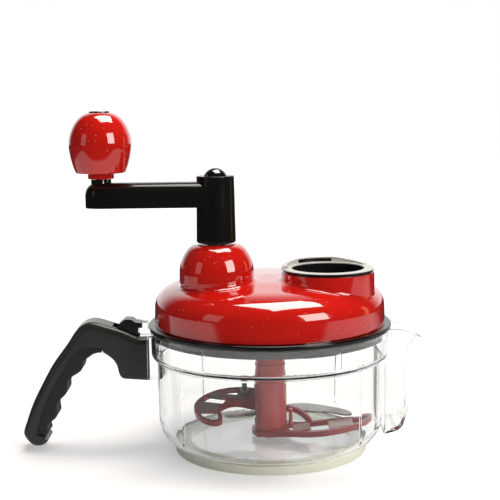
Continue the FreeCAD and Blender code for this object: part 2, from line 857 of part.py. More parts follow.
HANDLE_BACK = [(0.066, 0.872), (0.179, 0.927), (0.33, 0.978), (0.46, 1.0), (0.528, 0.966), (0.618, 0.847),
               (0.728, 0.697), (0.838, 0.507), (0.928, 0.324), (0.987, 0.163), (1.0, 0.104), (0.973, 0.049),
               (0.92, 0.004), (0.848, 0.007), (0.806, 0.05)]
PARTING = [(0.895, 0.103), (0.849, 0.263), (0.747, 0.492), (0.673, 0.614), (0.602, 0.727), (0.53, 0.788),
           (0.44, 0.806), (0.352, 0.8)]
NOSE_UNDER = [(0.345, 0.757), (0.319, 0.741), (0.243, 0.655), (0.207, 0.556), (0.187, 0.545)]
GRIP_INNER = [(0.362, 0.757), (0.375, 0.757), (0.432, 0.742), (0.475, 0.713), (0.505, 0.69), (0.517, 0.632),
              (0.602, 0.562), (0.64, 0.5), (0.643, 0.447), (0.709, 0.37), (0.735, 0.3), (0.732, 0.245),
              (0.78, 0.196), (0.813, 0.143), (0.805, 0.105)]


def handle_point(share):
    """A point of the handle's side outline, from its shares of reach and drop."""
    return Vector(-float(s.mount_face) - share[0] * float(s.handle_reach), 0,
                  float(s.handle_bottom) + share[1] * float(s.handle_drop))


def side_solid(edges, half_width, rounds):
    """An outline in the XZ plane made a solid. Each round is (radius, the outline edges it follows)."""
    half = float(half_width)
    face = Part.Face(Part.Wire(Part.__sortEdges__(edges)))
    solid = face.extrude(Vector(0, 2 * half, 0))
    solid.translate(Vector(0, -half, 0))
    for radius, followed in rounds:
        flat = [edge for edge in solid.Edges if edge.BoundBox.YLength < 1e-6]
        sharp = [edge for edge in flat if any(same_run(edge, line) for line in followed)]
        solid = solid.makeFillet(float(radius), sharp)
    return solid


def same_run(edge, other):
    """True where an edge's middle lies over the middle of another edge, seen from the side."""
    middle = edge.valueAt((edge.FirstParameter + edge.LastParameter) / 2)
    target = other.valueAt((other.FirstParameter + other.LastParameter) / 2)
    return math.hypot(middle.x - target.x, middle.z - target.z) < 0.5


def straight(start, end):
    """A straight edge between two points."""
    return Part.LineSegment(start, end).toShape()


def make_handle():
    back = curve_through([handle_point(p) for p in HANDLE_BACK])
    parting = curve_through([handle_point(p) for p in PARTING])
    under = curve_through([handle_point(p) for p in NOSE_UNDER])
    top_end = Vector(-float(s.mount_face), 0, float(s.mount_top))
    foot = Vector(-float(s.mount_face), 0, float(s.mount_bottom))
    lip = straight(handle_point(HANDLE_BACK[-1]), handle_point(PARTING[0]))
    top = straight(top_end, handle_point(HANDLE_BACK[0]))
    face = straight(foot, top_end)
    floor = straight(handle_point(NOSE_UNDER[-1]), foot)
    notch = straight(handle_point(PARTING[-1]), handle_point(NOSE_UNDER[0]))
    shell = side_solid([top, back, lip, parting, notch, under, floor, face], s.handle_half,
                       [(s.handle_round, (back, top)), (s.handle_nose_round, (under, floor))])
    grip_inner = curve_through([handle_point(p) for p in GRIP_INNER])
    ends = [
        straight(handle_point(PARTING[-1]), handle_point(GRIP_INNER[0])),
        straight(handle_point(GRIP_INNER[-1]), handle_point(PARTING[0])),
    ]
    grip = side_solid([grip_inner, parting, *ends], s.grip_half, [(s.grip_round, (grip_inner,))])
    gap = s.fit_gap
    channel = fuse(
        block(-(s.mount_face + s.rail_neck) + gap, -s.mount_face + 1, -(s.rail_half + gap), s.rail_half + gap,
              s.rail_bottom - gap, s.mount_top + 9),
        block(-(s.mount_face + s.rail_depth) - gap, -(s.mount_face + s.rail_neck) + gap,
              -(s.rail_head_half + gap), s.rail_head_half + gap, s.rail_bottom - gap, s.mount_top + 9),
    )
    pocket = block(-s.latch_pocket_end, -s.mount_face, -(s.latch_half + s.part_gap),
                   s.latch_half + s.part_gap, s.latch_floor, s.mount_top + 20)
    lug_room = block(-(s.lug_step_reach + 0.4), -s.mount_face + 1, -(s.lug_block_half + 1),
                     s.lug_block_half + 1, s.latch_floor, s.mount_top + 20)
    pin_hole = cross_rod(s.latch_pin_radius + s.press_gap, s.latch_pin_half, -s.latch_pivot_reach,
                         s.latch_pivot_height)
    screw_holes = [handle_screw_form(spot, s.press_gap) for spot in screw_spots()]
    node("handle_shell", cut(free_form(shell), channel, pocket, lug_room, pin_hole,
                             free_form(Part.makeCompound(screw_holes))))
    node("handle_grip", cut(free_form(grip), free_form(Part.makeCompound(
        [handle_screw_form(spot, s.press_gap) for spot in screw_spots()]))))
    node("handle_screws", free_form(Part.makeCompound([handle_screw_form(spot) for spot in screw_spots()])))


def screw_spots():
    """Where the handle's screws sit, and the way that they point, from the finger side."""
    top = handle_point((0.46, 0.728)), Vector(0, 0, 1)
    low = handle_point((0.757, 0.225)), Vector(-0.88, 0, 0.47)
    return top, low


def handle_screw_form(spot, clearance=0):
    """A screw driven from the grip into the shell, or its hole."""
    point, way = spot
    more = float(clearance)
    head_height = float(s.handle_screw_radius)
    head = Part.makeCylinder(float(s.handle_screw_head) + more, head_height + more, point, way)
    shank = Part.makeCylinder(float(s.handle_screw_radius) + more, float(s.handle_screw_length) + more,
                              point, way)
    if more:
        way_out = way * -1
        mouth = Part.makeCylinder(float(s.handle_screw_head) + more, float(s.handle_screw_length),
                                  point, way_out)
        return head.fuse([shank, mouth]).removeSplitter()
    return head.fuse(shank).removeSplitter()


def make_latch():
    """Thumb lever on the handle's top, with its pin and leaf spring."""
    lever = side_padded("latch outline", [
        (-(s.latch_pivot_reach + 9.5), s.latch_pivot_height + 3.5),
        (-(s.latch_pivot_reach + 7.6), s.latch_pivot_height + 8.1, 2),
        (-(s.latch_pivot_reach + 3.2), s.latch_pivot_height + 11.9, 4),
        (-(s.latch_pivot_reach - 1.8), s.latch_pivot_height + 11.5, 2.5),
        (-(s.latch_pivot_reach - 4.5), s.latch_pivot_height + 9.5),
        (-(s.lug_tall_reach + s.part_gap), s.latch_pivot_height + 9.1),
        (-(s.lug_tall_reach + s.part_gap), s.lug_step_top + s.part_gap),
        (-(s.lug_step_reach + 1.0), s.lug_step_top + s.part_gap),
        (-(s.lug_step_reach + 1.6), s.latch_pivot_height - 1.3),
        (-(s.latch_pivot_reach - 1.5), s.latch_pivot_height - 2.2, 1),
        (-(s.latch_pivot_reach + 2.5), s.latch_pivot_height - 1.6, 1),
        (-(s.latch_pivot_reach + 5), s.latch_pivot_height + 2.3),
    ], s.latch_half)
    bore = cross_rod(s.latch_pin_radius + s.running_gap, s.latch_half + 1, -s.latch_pivot_reach,
                     s.latch_pivot_height)
    node("latch_lever", cut(lever, bore))
    node("latch_pin", cross_rod(s.latch_pin_radius, s.latch_pin_half - s.press_gap, -s.latch_pivot_reach,
                                s.latch_pivot_height))
    tail = s.latch_pivot_reach + s.spring_tail
    tip = s.latch_pivot_height + 2.1
    node("latch_spring", side_padded("latch spring", [
        (-tail, s.latch_floor),
        (-(tail - 8), s.latch_floor),
        (-(tail - 8), s.latch_floor + s.spring_strip),
        (-(tail - 0.7), s.latch_floor + s.spring_strip),
        (-(tail - 4.9), tip),
        (-(tail - 4.6), tip + s.spring_strip),
        (-tail, s.latch_floor + s.spring_strip),
    ], s.spring_half))


# Lid

def cover_screw_angles():
    """Angles of the cover screws, clear of the gear and of the chute."""
    return (30.0, 150.0, 270.0)


def on_circle(radius, angle):
    """A point on a circle about the bowl's axis, as two sizes."""
    turn = math.radians(angle)
    return as_size(radius) * round(math.cos(turn), 9), as_size(radius) * round(math.sin(turn), 9)


def make_lid_base():
    inner = s.skirt_radius - s.skirt_wall
    bush_hole = s.drive_bore + s.thin_bushing + s.press_gap
    base = turned("lid base", [
        (bush_hole, s.drive_boss_bottom),
        (s.drive_boss_radius, s.drive_boss_bottom),
        (s.drive_boss_radius, s.lid_floor_bottom, 0.8),
        (inner, s.lid_floor_bottom, 0.8),
        (inner, s.skirt_bottom),
        (s.skirt_radius, s.skirt_bottom),
        (s.skirt_radius, s.flange_bottom),
        (s.lid_radius, s.flange_bottom, 0.8),
        (s.lid_radius, s.flange_top, 1.2),
        (inner + 0.6, s.flange_top),
        (inner + 0.6, s.flange_top + 2.2),
        (inner - 1.2, s.flange_top + 2.2),
        (inner - 1.2, s.lid_floor_top),
        (s.drive_boss_radius, s.lid_floor_top),
        (s.drive_boss_radius, s.drive_boss_top),
        (bush_hole, s.drive_boss_top),
    ])
    gear_boss = rod(s.shaft_foot_radius + s.bushing_wall + 2.5, s.lid_floor_bottom, s.gear_bottom - 1.5,
                    s.tower_x, s.tower_y)
    tabs = []
    for lug in lug_middles():
        low = s.skirt_bottom
        tabs.append(sector(s.skirt_radius - 1, s.skirt_radius + s.tab_proud, low, low + s.tab_height,
                           lug - float(s.lock_turn), s.tab_span))
    chute_hole = rod(s.chute_outer + s.fit_gap, s.drive_boss_bottom, s.cover_top, s.chute_x, s.chute_y)
    shaft_hole = rod(s.foot_bore + s.thin_bushing + s.press_gap, s.lid_floor_top, s.cover_top,
                     s.tower_x, s.tower_y)
    holes = []
    for angle in cover_screw_angles():
        x, y = on_circle(s.screw_circle, angle)
        holes.append(rod(s.screw_radius + s.running_gap, s.drive_boss_bottom, s.lid_floor_top + 1, x, y))
    node("lid_base", cut(fuse(base, gear_boss, *tabs), chute_hole, shaft_hole, *holes))


def cover_corners():
    """The cover's outer profile as (radius, height, round), from its middle to its lower edge."""
    corners = [(as_size(0), s.cover_top, as_size(0))]
    for inset, drop, bend in ((s.crown_inset, s.crown_drop, s.crown_round),
                              (s.haunch_inset, s.haunch_drop, s.haunch_round),
                              (s.bend_inset, s.bend_drop, s.bend_round),
                              (s.shoulder_inset, s.shoulder_drop, s.shoulder_round)):
        corners.append((s.cover_radius - inset, s.cover_top - drop, bend))
    corners.append((s.cover_radius * 1, s.cover_bottom, as_size(0)))
    return corners


def cover_solid(wall, bottom):
    """The cover's dome, solid, with every line of its profile drawn in by a wall."""
    corners = cover_corners()
    outline = [(0, bottom), (corners[-1][0] - wall, bottom)]
    for before, corner, after in list(zip(corners, corners[1:], corners[2:]))[::-1]:
        lines = [Vector(float(q[0]) - float(p[0]), 0, float(q[1]) - float(p[1])).normalize()
                 for p, q in ((before, corner), (corner, after))]
        normals = [Vector(-line.z, 0, line.x) for line in lines]
        shift = (normals[0] + normals[1]) / (1 + normals[0].dot(normals[1]))
        outline.append((corner[0] - wall * round(shift.x, 6), corner[1] - wall * round(shift.z, 6),
                        corner[2] - wall))
    outline.append((0, corners[0][1] - wall))
    return turned("cover form", outline)


def seam_side(above, gap=0):
    """A big block on one side of the tilted seam between the tower and the cover."""
    tilt = math.radians(float(s.seam_tilt))
    slope, level = round(math.sin(tilt), 9), round(math.cos(tilt), 9)
    reach, depth = s.tower_radius * 2, s.tower_rise * 2
    side = doc.addObject("Part::Box", "SeamSide")
    tie(side, "Length", reach * 2)
    tie(side, "Width", reach * 2)
    tie(side, "Height", depth)
    sink = as_size(-gap) if above else depth - gap
    x = s.tower_x - reach * level + sink * slope
    z = s.seam_height - reach * slope - sink * level
    return place(side, x, s.tower_y - reach, z, Rotation(Vector(0, 1, 0), -float(s.seam_tilt)))


def make_lid_cover():
    collar = rod(s.collar_radius, s.lid_floor_top + 10, s.collar_top, s.chute_x, s.chute_y)
    socket = turned("tower socket", [
        (0, -s.socket_depth),
        (s.socket_neck, -s.socket_depth),
        (s.socket_neck, -s.socket_neck_drop),
        (s.tower_radius, -s.socket_bend_drop, s.socket_bend),
        (s.tower_radius, s.tower_centre_rise),
        (0, s.tower_centre_rise),
    ])
    place(socket, s.tower_x, s.tower_y, s.seam_height, Rotation(Vector(0, 1, 0), -float(s.seam_tilt)))
    form = cover_solid(as_size(0), s.cover_bottom)
    dome = fuse(form, collar, socket)
    doc.recompute()
    outside = cut(blended(dome, form, (collar, socket)), seam_side(True))
    seat_ring = rod(s.tower_foot_radius + s.cover_wall, s.tower_foot - s.cover_wall, s.tower_centre,
                    s.tower_x, s.tower_y)
    hollow = cut(cover_solid(s.cover_wall, s.cover_bottom - 5), seat_ring)
    collar_hollow = rod(s.collar_radius - s.cover_wall, s.cover_bottom, s.collar_top - 3, s.chute_x,
                        s.chute_y)
    chute_hole = rod(s.chute_outer + s.fit_gap, s.cover_bottom, s.collar_top + 5, s.chute_x, s.chute_y)
    seat = rod(s.tower_foot_radius + s.fit_gap, s.tower_foot, s.tower_centre, s.tower_x, s.tower_y)
    tower_hole = rod(s.tower_foot_radius - 5, s.cover_bottom, s.tower_centre, s.tower_x, s.tower_y)
    shell = cut(outside, hollow, collar_hollow, chute_hole, seat, tower_hole)
    bosses = []
    holes = []
    for angle in cover_screw_angles():
        x, y = on_circle(s.screw_circle, angle)
        bosses.append(rod(s.screw_boss_radius, s.lid_floor_top + s.fit_gap,
                          s.cover_top - s.screw_boss_drop, x, y))
        holes.append(rod(s.screw_radius + s.running_gap, s.lid_floor_top, s.lid_floor_top + s.screw_length,
                         x, y))
    node("lid_cover", cut(fuse(shell, *bosses), *holes))


def blended(dome, form, risers):
    """Round the dome where the chute's collar and the tower's socket rise out of it."""
    bend = float(s.blend_round)
    touch = 0.001
    surface = form.Shape.Shells[0]
    sides = [riser.Shape.Shells[0] for riser in risers]
    edges = []
    for index, edge in enumerate(dome.Shape.Edges, start=1):
        start, run = edge.FirstParameter, edge.LastParameter - edge.FirstParameter
        spots = [Part.Vertex(edge.valueAt(start + share * run)) for share in (0.2, 0.5, 0.8)]
        on_dome = all(surface.distToShape(spot)[0] < touch for spot in spots)
        if on_dome and any(all(side.distToShape(spot)[0] < touch for spot in spots) for side in sides):
            edges.append((index, bend, bend))
    blend = doc.addObject("Part::Fillet", "CoverBlend")
    blend.Base = dome
    blend.Edges = edges
    return blend


def make_tower():
    """Ball-shaped housing of the crank shaft, on a tilted seam."""
    bore = s.shaft_bore + s.bushing_wall + s.press_gap
    boss = bore + s.tower_wall
    inner = s.tower_radius - s.tower_wall
    foot_inner = s.tower_foot_radius - s.tower_wall
    under_top = s.tower_top - s.tower_wall
    ball = turned("tower ball", [
        (bore, s.tower_foot),
        (s.tower_radius, s.tower_foot),
        (s.tower_radius, s.tower_centre + s.ball_bend_rise, s.ball_bend),
        (s.tower_radius - s.ball_neck_inset, s.tower_top, s.ball_neck_round),
        (bore, s.tower_top),
    ], s.tower_x, s.tower_y)
    spigot = rod(s.tower_foot_radius, s.tower_foot - 1, s.tower_top, s.tower_x, s.tower_y)
    skirt_waste = cut(seam_side(False, s.running_gap), spigot)
    hollow = turned("tower hollow", [
        (0, s.tower_foot - 1),
        (foot_inner, s.tower_foot - 1),
        (foot_inner, s.tower_centre - s.hollow_cone_drop),
        (inner, s.tower_centre + s.hollow_cone_rise),
        (inner, s.tower_centre + s.hollow_bend_rise, s.hollow_bend),
        (inner - s.hollow_neck_inset, under_top, s.hollow_neck_round),
        (boss, under_top),
        (boss, s.upper_bushing_bottom),
        (0, s.upper_bushing_bottom),
    ], s.tower_x, s.tower_y)
    node("crank_tower", cut(ball, skirt_waste, hollow))


def make_chute():
    flange = s.chute_rim_radius - s.chute_lip
    node("chute_liner", turned("chute liner", [
        (s.chute_bore, s.skirt_bottom + 1),
        (s.chute_outer, s.skirt_bottom + 1),
        (s.chute_outer, s.collar_top + s.press_gap),
        (flange, s.collar_top + s.press_gap),
        (flange, s.band_top),
        (s.chute_outer, s.band_top),
        (s.chute_outer, s.liner_top),
        (s.chute_bore, s.liner_top),
    ], s.chute_x, s.chute_y))
    ring = turned("rim ring", [
        (s.chute_outer + s.press_gap, s.band_top + s.press_gap),
        (s.chute_rim_radius, s.band_top + s.press_gap, 0.2),
        (s.chute_rim_radius, s.chute_rim_top, 0.5),
        (s.chute_bore + 0.4, s.chute_rim_top, 0.4),
        (s.chute_bore + 0.4, s.liner_top + s.press_gap),
        (s.chute_outer + s.press_gap, s.liner_top + s.press_gap),
    ], s.chute_x, s.chute_y)
    middle = float(s.hood_start) + float(s.hood_span) / 2
    hood = sector(s.hood_inner_radius, s.chute_rim_radius, s.chute_rim_top - 0.5, s.hood_top, middle,
                  s.hood_span, s.chute_x, s.chute_y)
    slot_block = block(s.hood_slot_centre - s.hood_slot_half, s.hood_slot_centre + s.hood_slot_half,
                       s.chute_y + s.chute_bore * 0.7, s.chute_y + s.chute_rim_radius,
                       s.chute_rim_top + s.hood_slot_sill, s.hood_top - s.hood_roof)
    slot_end = rod(s.chute_rim_radius - s.hood_wall, s.chute_rim_top, s.hood_top, s.chute_x, s.chute_y)
    slot = common(slot_block, slot_end)
    above = s.hood_top + 1
    ramp_foot = s.chute_x + s.chute_rim_radius
    waste = side_padded("hood slopes", [
        (s.chute_x - s.chute_rim_radius, s.hood_top - s.hood_left_drop),
        (s.hood_slot_centre - s.hood_slot_half, s.hood_top),
        (s.hood_ramp_start, s.hood_top),
        (ramp_foot, s.chute_rim_top),
        (ramp_foot, above),
        (s.chute_x - s.chute_rim_radius, above),
    ], s.chute_rim_radius + 1, s.chute_y)
    node("chute_rim", cut(fuse(ring, hood), slot, waste))


def make_lid_hardware():
    node("upper_bushing", turned("upper bushing", [
        (s.shaft_bore, s.upper_bushing_bottom),
        (s.shaft_bore + s.bushing_wall, s.upper_bushing_bottom),
        (s.shaft_bore + s.bushing_wall, s.tower_top),
        (s.shaft_bore, s.tower_top),
    ], s.tower_x, s.tower_y))
    node("lower_bushing", turned("lower bushing", [
        (s.foot_bore, s.lid_floor_top + s.press_gap),
        (s.foot_bore + s.thin_bushing, s.lid_floor_top + s.press_gap),
        (s.foot_bore + s.thin_bushing, s.gear_bottom - 1.2),
        (s.foot_bore, s.gear_bottom - 1.2),
    ], s.tower_x, s.tower_y))
    node("drive_bushing", turned("drive bushing", [
        (s.drive_bore, s.drive_boss_bottom),
        (s.drive_bore + s.thin_bushing, s.drive_boss_bottom),
        (s.drive_bore + s.thin_bushing, s.drive_boss_top + 0.6),
        (s.drive_bore, s.drive_boss_top + 0.6),
    ]))
    screws = []
    for angle in cover_screw_angles():
        x, y = on_circle(s.screw_circle, angle)
        head_top = s.lid_floor_bottom - s.press_gap
        head = rod(s.screw_head_radius, head_top - s.screw_head_height, head_top, x, y)
        shank = rod(s.screw_radius, head_top - 0.5, s.lid_floor_top + s.screw_length - 1, x, y)
        screws.append(fuse(head, shank))
    node("cover_screws", group(*screws))


# Gears and drive

def gear_wire(teeth, backlash):
    """Outline of an involute gear, a tooth centred on the +X axis."""
    module = float(s.gear_module)
    pressure = math.radians(20)
    pitch = module * teeth / 2
    base = pitch * math.cos(pressure)
    tip = pitch + module
    root = pitch - module * 1.25
    involute_at_pitch = math.tan(pressure) - pressure
    half_tooth = math.pi / (2 * teeth) - backlash / (2 * pitch)

    def flank(radius):
        """Half angle of the tooth at a radius."""
        slope = math.acos(min(1.0, base / max(radius, base)))
        return half_tooth + involute_at_pitch - (math.tan(slope) - slope)

    start = max(base, root)
    steps = 4
    radii = [start + (tip - start) * k / steps for k in range(steps + 1)]
    edges = []
    for tooth in range(teeth):
        middle = 2 * math.pi * tooth / teeth

        def spot(radius, angle):
            return Vector(radius * math.cos(middle + angle), radius * math.sin(middle + angle), 0)

        right = [spot(r, -flank(r)) for r in radii]
        left = [spot(r, flank(r)) for r in reversed(radii)]
        next_root = 2 * math.pi / teeth - flank(start)
        foot_right, foot_left = spot(root, -flank(start)), spot(root, flank(start))
        if root < start:
            edges.append(Part.LineSegment(foot_right, right[0]).toShape())
        else:
            foot_right, foot_left = right[0], left[-1]
        edges.append(curve_through(right))
        edges.append(Part.Arc(right[-1], spot(tip, 0), left[0]).toShape())
        edges.append(curve_through(left))
        if root < start:
            edges.append(Part.LineSegment(left[-1], foot_left).toShape())
        edges.append(Part.Arc(foot_left, spot(root, (flank(start) + next_root) / 2),
                              spot(root, next_root)).toShape())
    return Part.Wire(edges)


def toothed_disc(teeth, turn, x, y, low, high):
    """A spur gear blank with its teeth."""
    face = Part.Face(gear_wire(int(float(teeth)), float(s.gear_backlash)))
    solid = face.extrude(Vector(0, 0, float(high) - float(low)))
    solid.rotate(Vector(0, 0, 0), Vector(0, 0, 1), turn)
    solid.translate(Vector(float(x), float(y), float(low)))
    return solid


def make_gears():
    low, high = s.gear_bottom, s.gear_top
    # A tooth of the crank gear faces a space of the pinion on the line between their axes
    facing = float(s.tower_turn)
    blank = free_form(toothed_disc(s.gear_teeth, facing, s.tower_x, s.tower_y, low, high))
    root = s.gear_module * (s.gear_teeth / 2 - 1.25)
    dish_wall = (s.gear_width - s.gear_web) / 2
    dishes = []
    for dish_low, dish_high in ((low - 1, low + dish_wall), (high - dish_wall, high + 1)):
        ring = rod(root - s.gear_rim, dish_low, dish_high, s.tower_x, s.tower_y)
        hub = rod(s.gear_hub_radius, dish_low - 1, dish_high + 1, s.tower_x, s.tower_y)
        dishes.append(cut(ring, hub))
    windows = []
    for k in range(6):
        turn = math.radians(60 * k + 30)
        reach = (root - s.gear_rim + s.gear_hub_radius) / 2
        windows.append(rod(s.gear_web, low - 1, high + 1,
                           s.tower_x + reach * round(math.cos(turn), 9),
                           s.tower_y + reach * round(math.sin(turn), 9)))
    hex_bore = hexagon(s.shaft_hex + s.fit_gap, low - 1, high + 1, s.tower_x, s.tower_y)
    node("crank_gear", cut(blank, *dishes, *windows, hex_bore))
    half_pitch = 180 / float(s.pinion_teeth)
    pinion = free_form(toothed_disc(s.pinion_teeth, facing + 180 + half_pitch, 0, 0, low - 1, high + 1))
    node("drive_pinion", cut(pinion, hexagon(s.pinion_hex + s.fit_gap, low - 2, high + 2)))


def make_crank_shaft():
    x, y = s.tower_x, s.tower_y
    foot = rod(s.shaft_foot_radius, s.lid_floor_top + 0.5, s.gear_bottom, x, y)
    drive = hexagon(s.shaft_hex, s.gear_bottom - 0.6, s.gear_top + s.fit_gap, x, y)
    journal = rod(s.shaft_radius, s.gear_top + s.fit_gap, s.hub_bottom - s.fit_gap, x, y)
    half = s.shaft_square / 2
    square = block(x - half, x + half, y - half, y + half, s.hub_bottom - 1, s.shaft_top)
    bore = rod(s.crank_screw_radius + s.running_gap, s.shaft_top - 14, s.shaft_top + 1, x, y)
    node("crank_shaft", cut(fuse(foot, drive, journal, square), bore))
    clip_low = s.gear_top + s.fit_gap * 2
    node("gear_clip", turned("gear clip", [
        (s.shaft_radius + s.press_gap, clip_low),
        (s.clip_radius, clip_low),
        (s.clip_radius, clip_low + s.clip_height),
        (s.shaft_radius + s.press_gap, clip_low + s.clip_height),
    ], x, y))


def make_drive():
    pinion_top = s.gear_top + 1
    dog = hexagon(s.coupling_hex, s.coupling_bottom, s.coupling_flange_bottom + 0.5)
    flange = rod(s.coupling_flange_radius, s.coupling_flange_bottom, s.coupling_flange_top)
    journal = rod(s.coupling_radius, s.coupling_flange_top - 0.5, s.gear_bottom - 1 - s.press_gap)
    hexed = hexagon(s.pinion_hex, s.gear_bottom - 2, pinion_top - 0.6)
    screw_hole = rod(s.screw_radius + s.running_gap, pinion_top - 12, pinion_top + 1)
    node("drive_coupling", cut(fuse(dog, flange, journal, hexed), screw_hole))
    head = rod(s.pinion_hex + 1.2, pinion_top + s.press_gap, pinion_top + s.screw_head_height)
    shank = rod(s.screw_radius, pinion_top - 11, pinion_top + 0.5)
    node("drive_screw", fuse(head, shank))


# Crank

def make_crank_arm():
    x, y, end = s.tower_x, s.tower_y, s.knob_x
    hub = turned("crank hub", [
        (0, s.hub_bottom),
        (s.hub_low_radius, s.hub_bottom, 1.2),
        (s.hub_radius, s.hub_top, 0.5),
        (0, s.hub_top),
    ], x, y)
    half_hub = s.hub_radius - 1.2
    bar = padded("arm plan", [
        (x, -half_hub),
        (x, half_hub),
        (end, s.arm_end_radius),
        (end, -s.arm_end_radius),
    ], s.arm_bottom, s.arm_top, 0, y)
    tip = rod(s.arm_end_radius, s.arm_bottom, s.arm_top, end, y)
    arm = fuse(bar, tip)
    doc.recompute()
    top, bevel = float(s.arm_top), float(s.arm_bevel)
    edges = []
    for index, edge in enumerate(arm.Shape.Edges, start=1):
        box = edge.BoundBox
        flat_on_top = abs(box.ZMin - top) < 1e-6 and abs(box.ZMax - top) < 1e-6
        if flat_on_top and box.XMin < float(x) - 1:
            edges.append((index, bevel, bevel))
    rounded = doc.addObject("Part::Fillet", "ArmRound")
    rounded.Base = arm
    rounded.Edges = edges
    post = rod(s.post_radius, s.arm_top - 6, s.post_top, end, y)
    slot = block(end + 1.5, end + 1.5 + s.post_slot, y - s.post_radius - 1, y + s.post_radius + 1,
                 s.arm_top, s.post_top + 1)
    spindle_hole = rod(s.spindle_radius + s.press_gap, s.spindle_bottom, s.post_top + 1, end, y)
    half = s.shaft_square / 2 + s.fit_gap
    square_hole = block(x - half, x + half, y - half, y + half, s.hub_bottom - 1, s.shaft_top + 1)
    screw_hole = rod(s.crank_screw_radius + s.fit_gap, s.shaft_top, s.hub_top, x, y)
    pocket = rod(s.hub_pocket_radius, s.shaft_top + 4, s.hub_top + 1, x, y)
    node("crank_arm", cut(fuse(hub, rounded, post), slot, spindle_hole, square_hole, screw_hole, pocket))


def make_hub_cap():
    """Domed cap that hides the crank screw."""
    radius, top = float(s.hub_cap_radius), float(s.hub_cap_top)
    seat = float(s.hub_top) + float(s.press_gap)
    spigot = float(s.hub_pocket_radius) - float(s.fit_gap)
    rise = top - seat
    curve_radius = (radius ** 2 + rise ** 2) / (2 * rise)
    half_angle = math.asin(radius / curve_radius) / 2
    crown = Vector(curve_radius * math.sin(half_angle), 0, top - curve_radius * (1 - math.cos(half_angle)))
    low = seat - 5
    outline = [
        Part.LineSegment(Vector(0, 0, low), Vector(spigot, 0, low)).toShape(),
        Part.LineSegment(Vector(spigot, 0, low), Vector(spigot, 0, seat)).toShape(),
        Part.LineSegment(Vector(spigot, 0, seat), Vector(radius, 0, seat)).toShape(),
        Part.Arc(Vector(radius, 0, seat), crown, Vector(0, 0, top)).toShape(),
        Part.LineSegment(Vector(0, 0, top), Vector(0, 0, low)).toShape(),
    ]
    solid = Part.Face(Part.Wire(outline)).revolve(Vector(0, 0, 0), Vector(0, 0, 1), 360)
    solid.translate(Vector(float(s.tower_x), float(s.tower_y), 0))
    node("hub_cap", free_form(solid))


def make_crank_screw():
    head_low = s.shaft_top + 4 + s.press_gap
    head = rod(s.crank_screw_head, head_low, head_low + 3, s.tower_x, s.tower_y)
    shank = rod(s.crank_screw_radius, s.shaft_top - 13, head_low + 1, s.tower_x, s.tower_y)
    node("crank_screw", fuse(head, shank))


# Knob

# The knob's skirt as (inset, share of the height up to the belt), and its crown as (share of the
# radius, share of the height above the belt)
KNOB_SKIRT = [(2.2, 0.32), (0.7, 0.68)]
KNOB_CROWN = [(0.975, 0.25), (0.888, 0.5), (0.748, 0.74), (0.585, 0.9)]


def make_knob():
    belt, top = float(s.knob_belt), float(s.knob_top)
    radius, foot = float(s.knob_radius), float(s.knob_bottom)
    cap = float(s.knob_cap_radius)
    collar, collar_low = float(s.knob_collar_radius), float(s.knob_collar_bottom)
    bore = float(s.spindle_radius + s.running_gap)
    pocket = float(s.spindle_head_radius + s.part_gap)
    shoulder = float(s.spindle_shoulder - s.ring_gap)
    cap_seat = float(s.knob_cap_seat)
    cap_hole = cap + float(s.press_gap)
    crown = curve_through([
        Vector(float(s.knob_foot_radius), 0, foot),
        *[Vector(radius - inset, 0, foot + (belt - foot) * share) for inset, share in KNOB_SKIRT],
        Vector(radius, 0, belt),
        *[Vector(radius * wide, 0, belt + (top - belt) * share) for wide, share in KNOB_CROWN],
        Vector(cap_hole + 0.6, 0, top),
    ])

    def side(a, b):
        return Part.LineSegment(Vector(a[0], 0, a[1]), Vector(b[0], 0, b[1])).toShape()

    corners = [(cap_hole + 0.6, top), (cap_hole, top), (cap_hole, cap_seat), (pocket, cap_seat),
               (pocket, shoulder), (bore, shoulder), (bore, collar_low), (collar, collar_low),
               (collar, foot), (float(s.knob_foot_radius), foot)]
    edges = [crown] + [side(a, b) for a, b in zip(corners, corners[1:])]
    solid = Part.Face(Part.Wire(edges)).revolve(Vector(0, 0, 0), Vector(0, 0, 1), 360)
    foot_edges = [e for e in solid.Edges if abs(e.BoundBox.ZMin - foot) < 1e-6 and e.BoundBox.ZLength < 1e-6
                  and abs(e.BoundBox.XMax - float(s.knob_foot_radius)) < 1e-3]
    solid = solid.makeFillet(1.2, foot_edges)
    solid.translate(Vector(float(s.knob_x), float(s.tower_y), 0))
    node("knob_shell", free_form(solid))
    node("knob_cap", turned("knob cap", [
        (0, s.knob_cap_seat + s.press_gap),
        (s.knob_cap_radius, s.knob_cap_seat + s.press_gap),
        (s.knob_cap_radius, s.knob_cap_top, 0.9),
        (0, s.knob_cap_top),
    ], s.knob_x, s.tower_y))
    node("knob_spindle", turned("knob spindle", [
        (0, s.spindle_bottom),
        (s.spindle_radius, s.spindle_bottom),
        (s.spindle_radius, s.spindle_shoulder),
        (s.spindle_head_radius, s.spindle_shoulder),
        (s.spindle_head_radius, s.spindle_head_top, 0.8),
        (0, s.spindle_head_top),
    ], s.knob_x, s.tower_y))


# Tool in the bowl

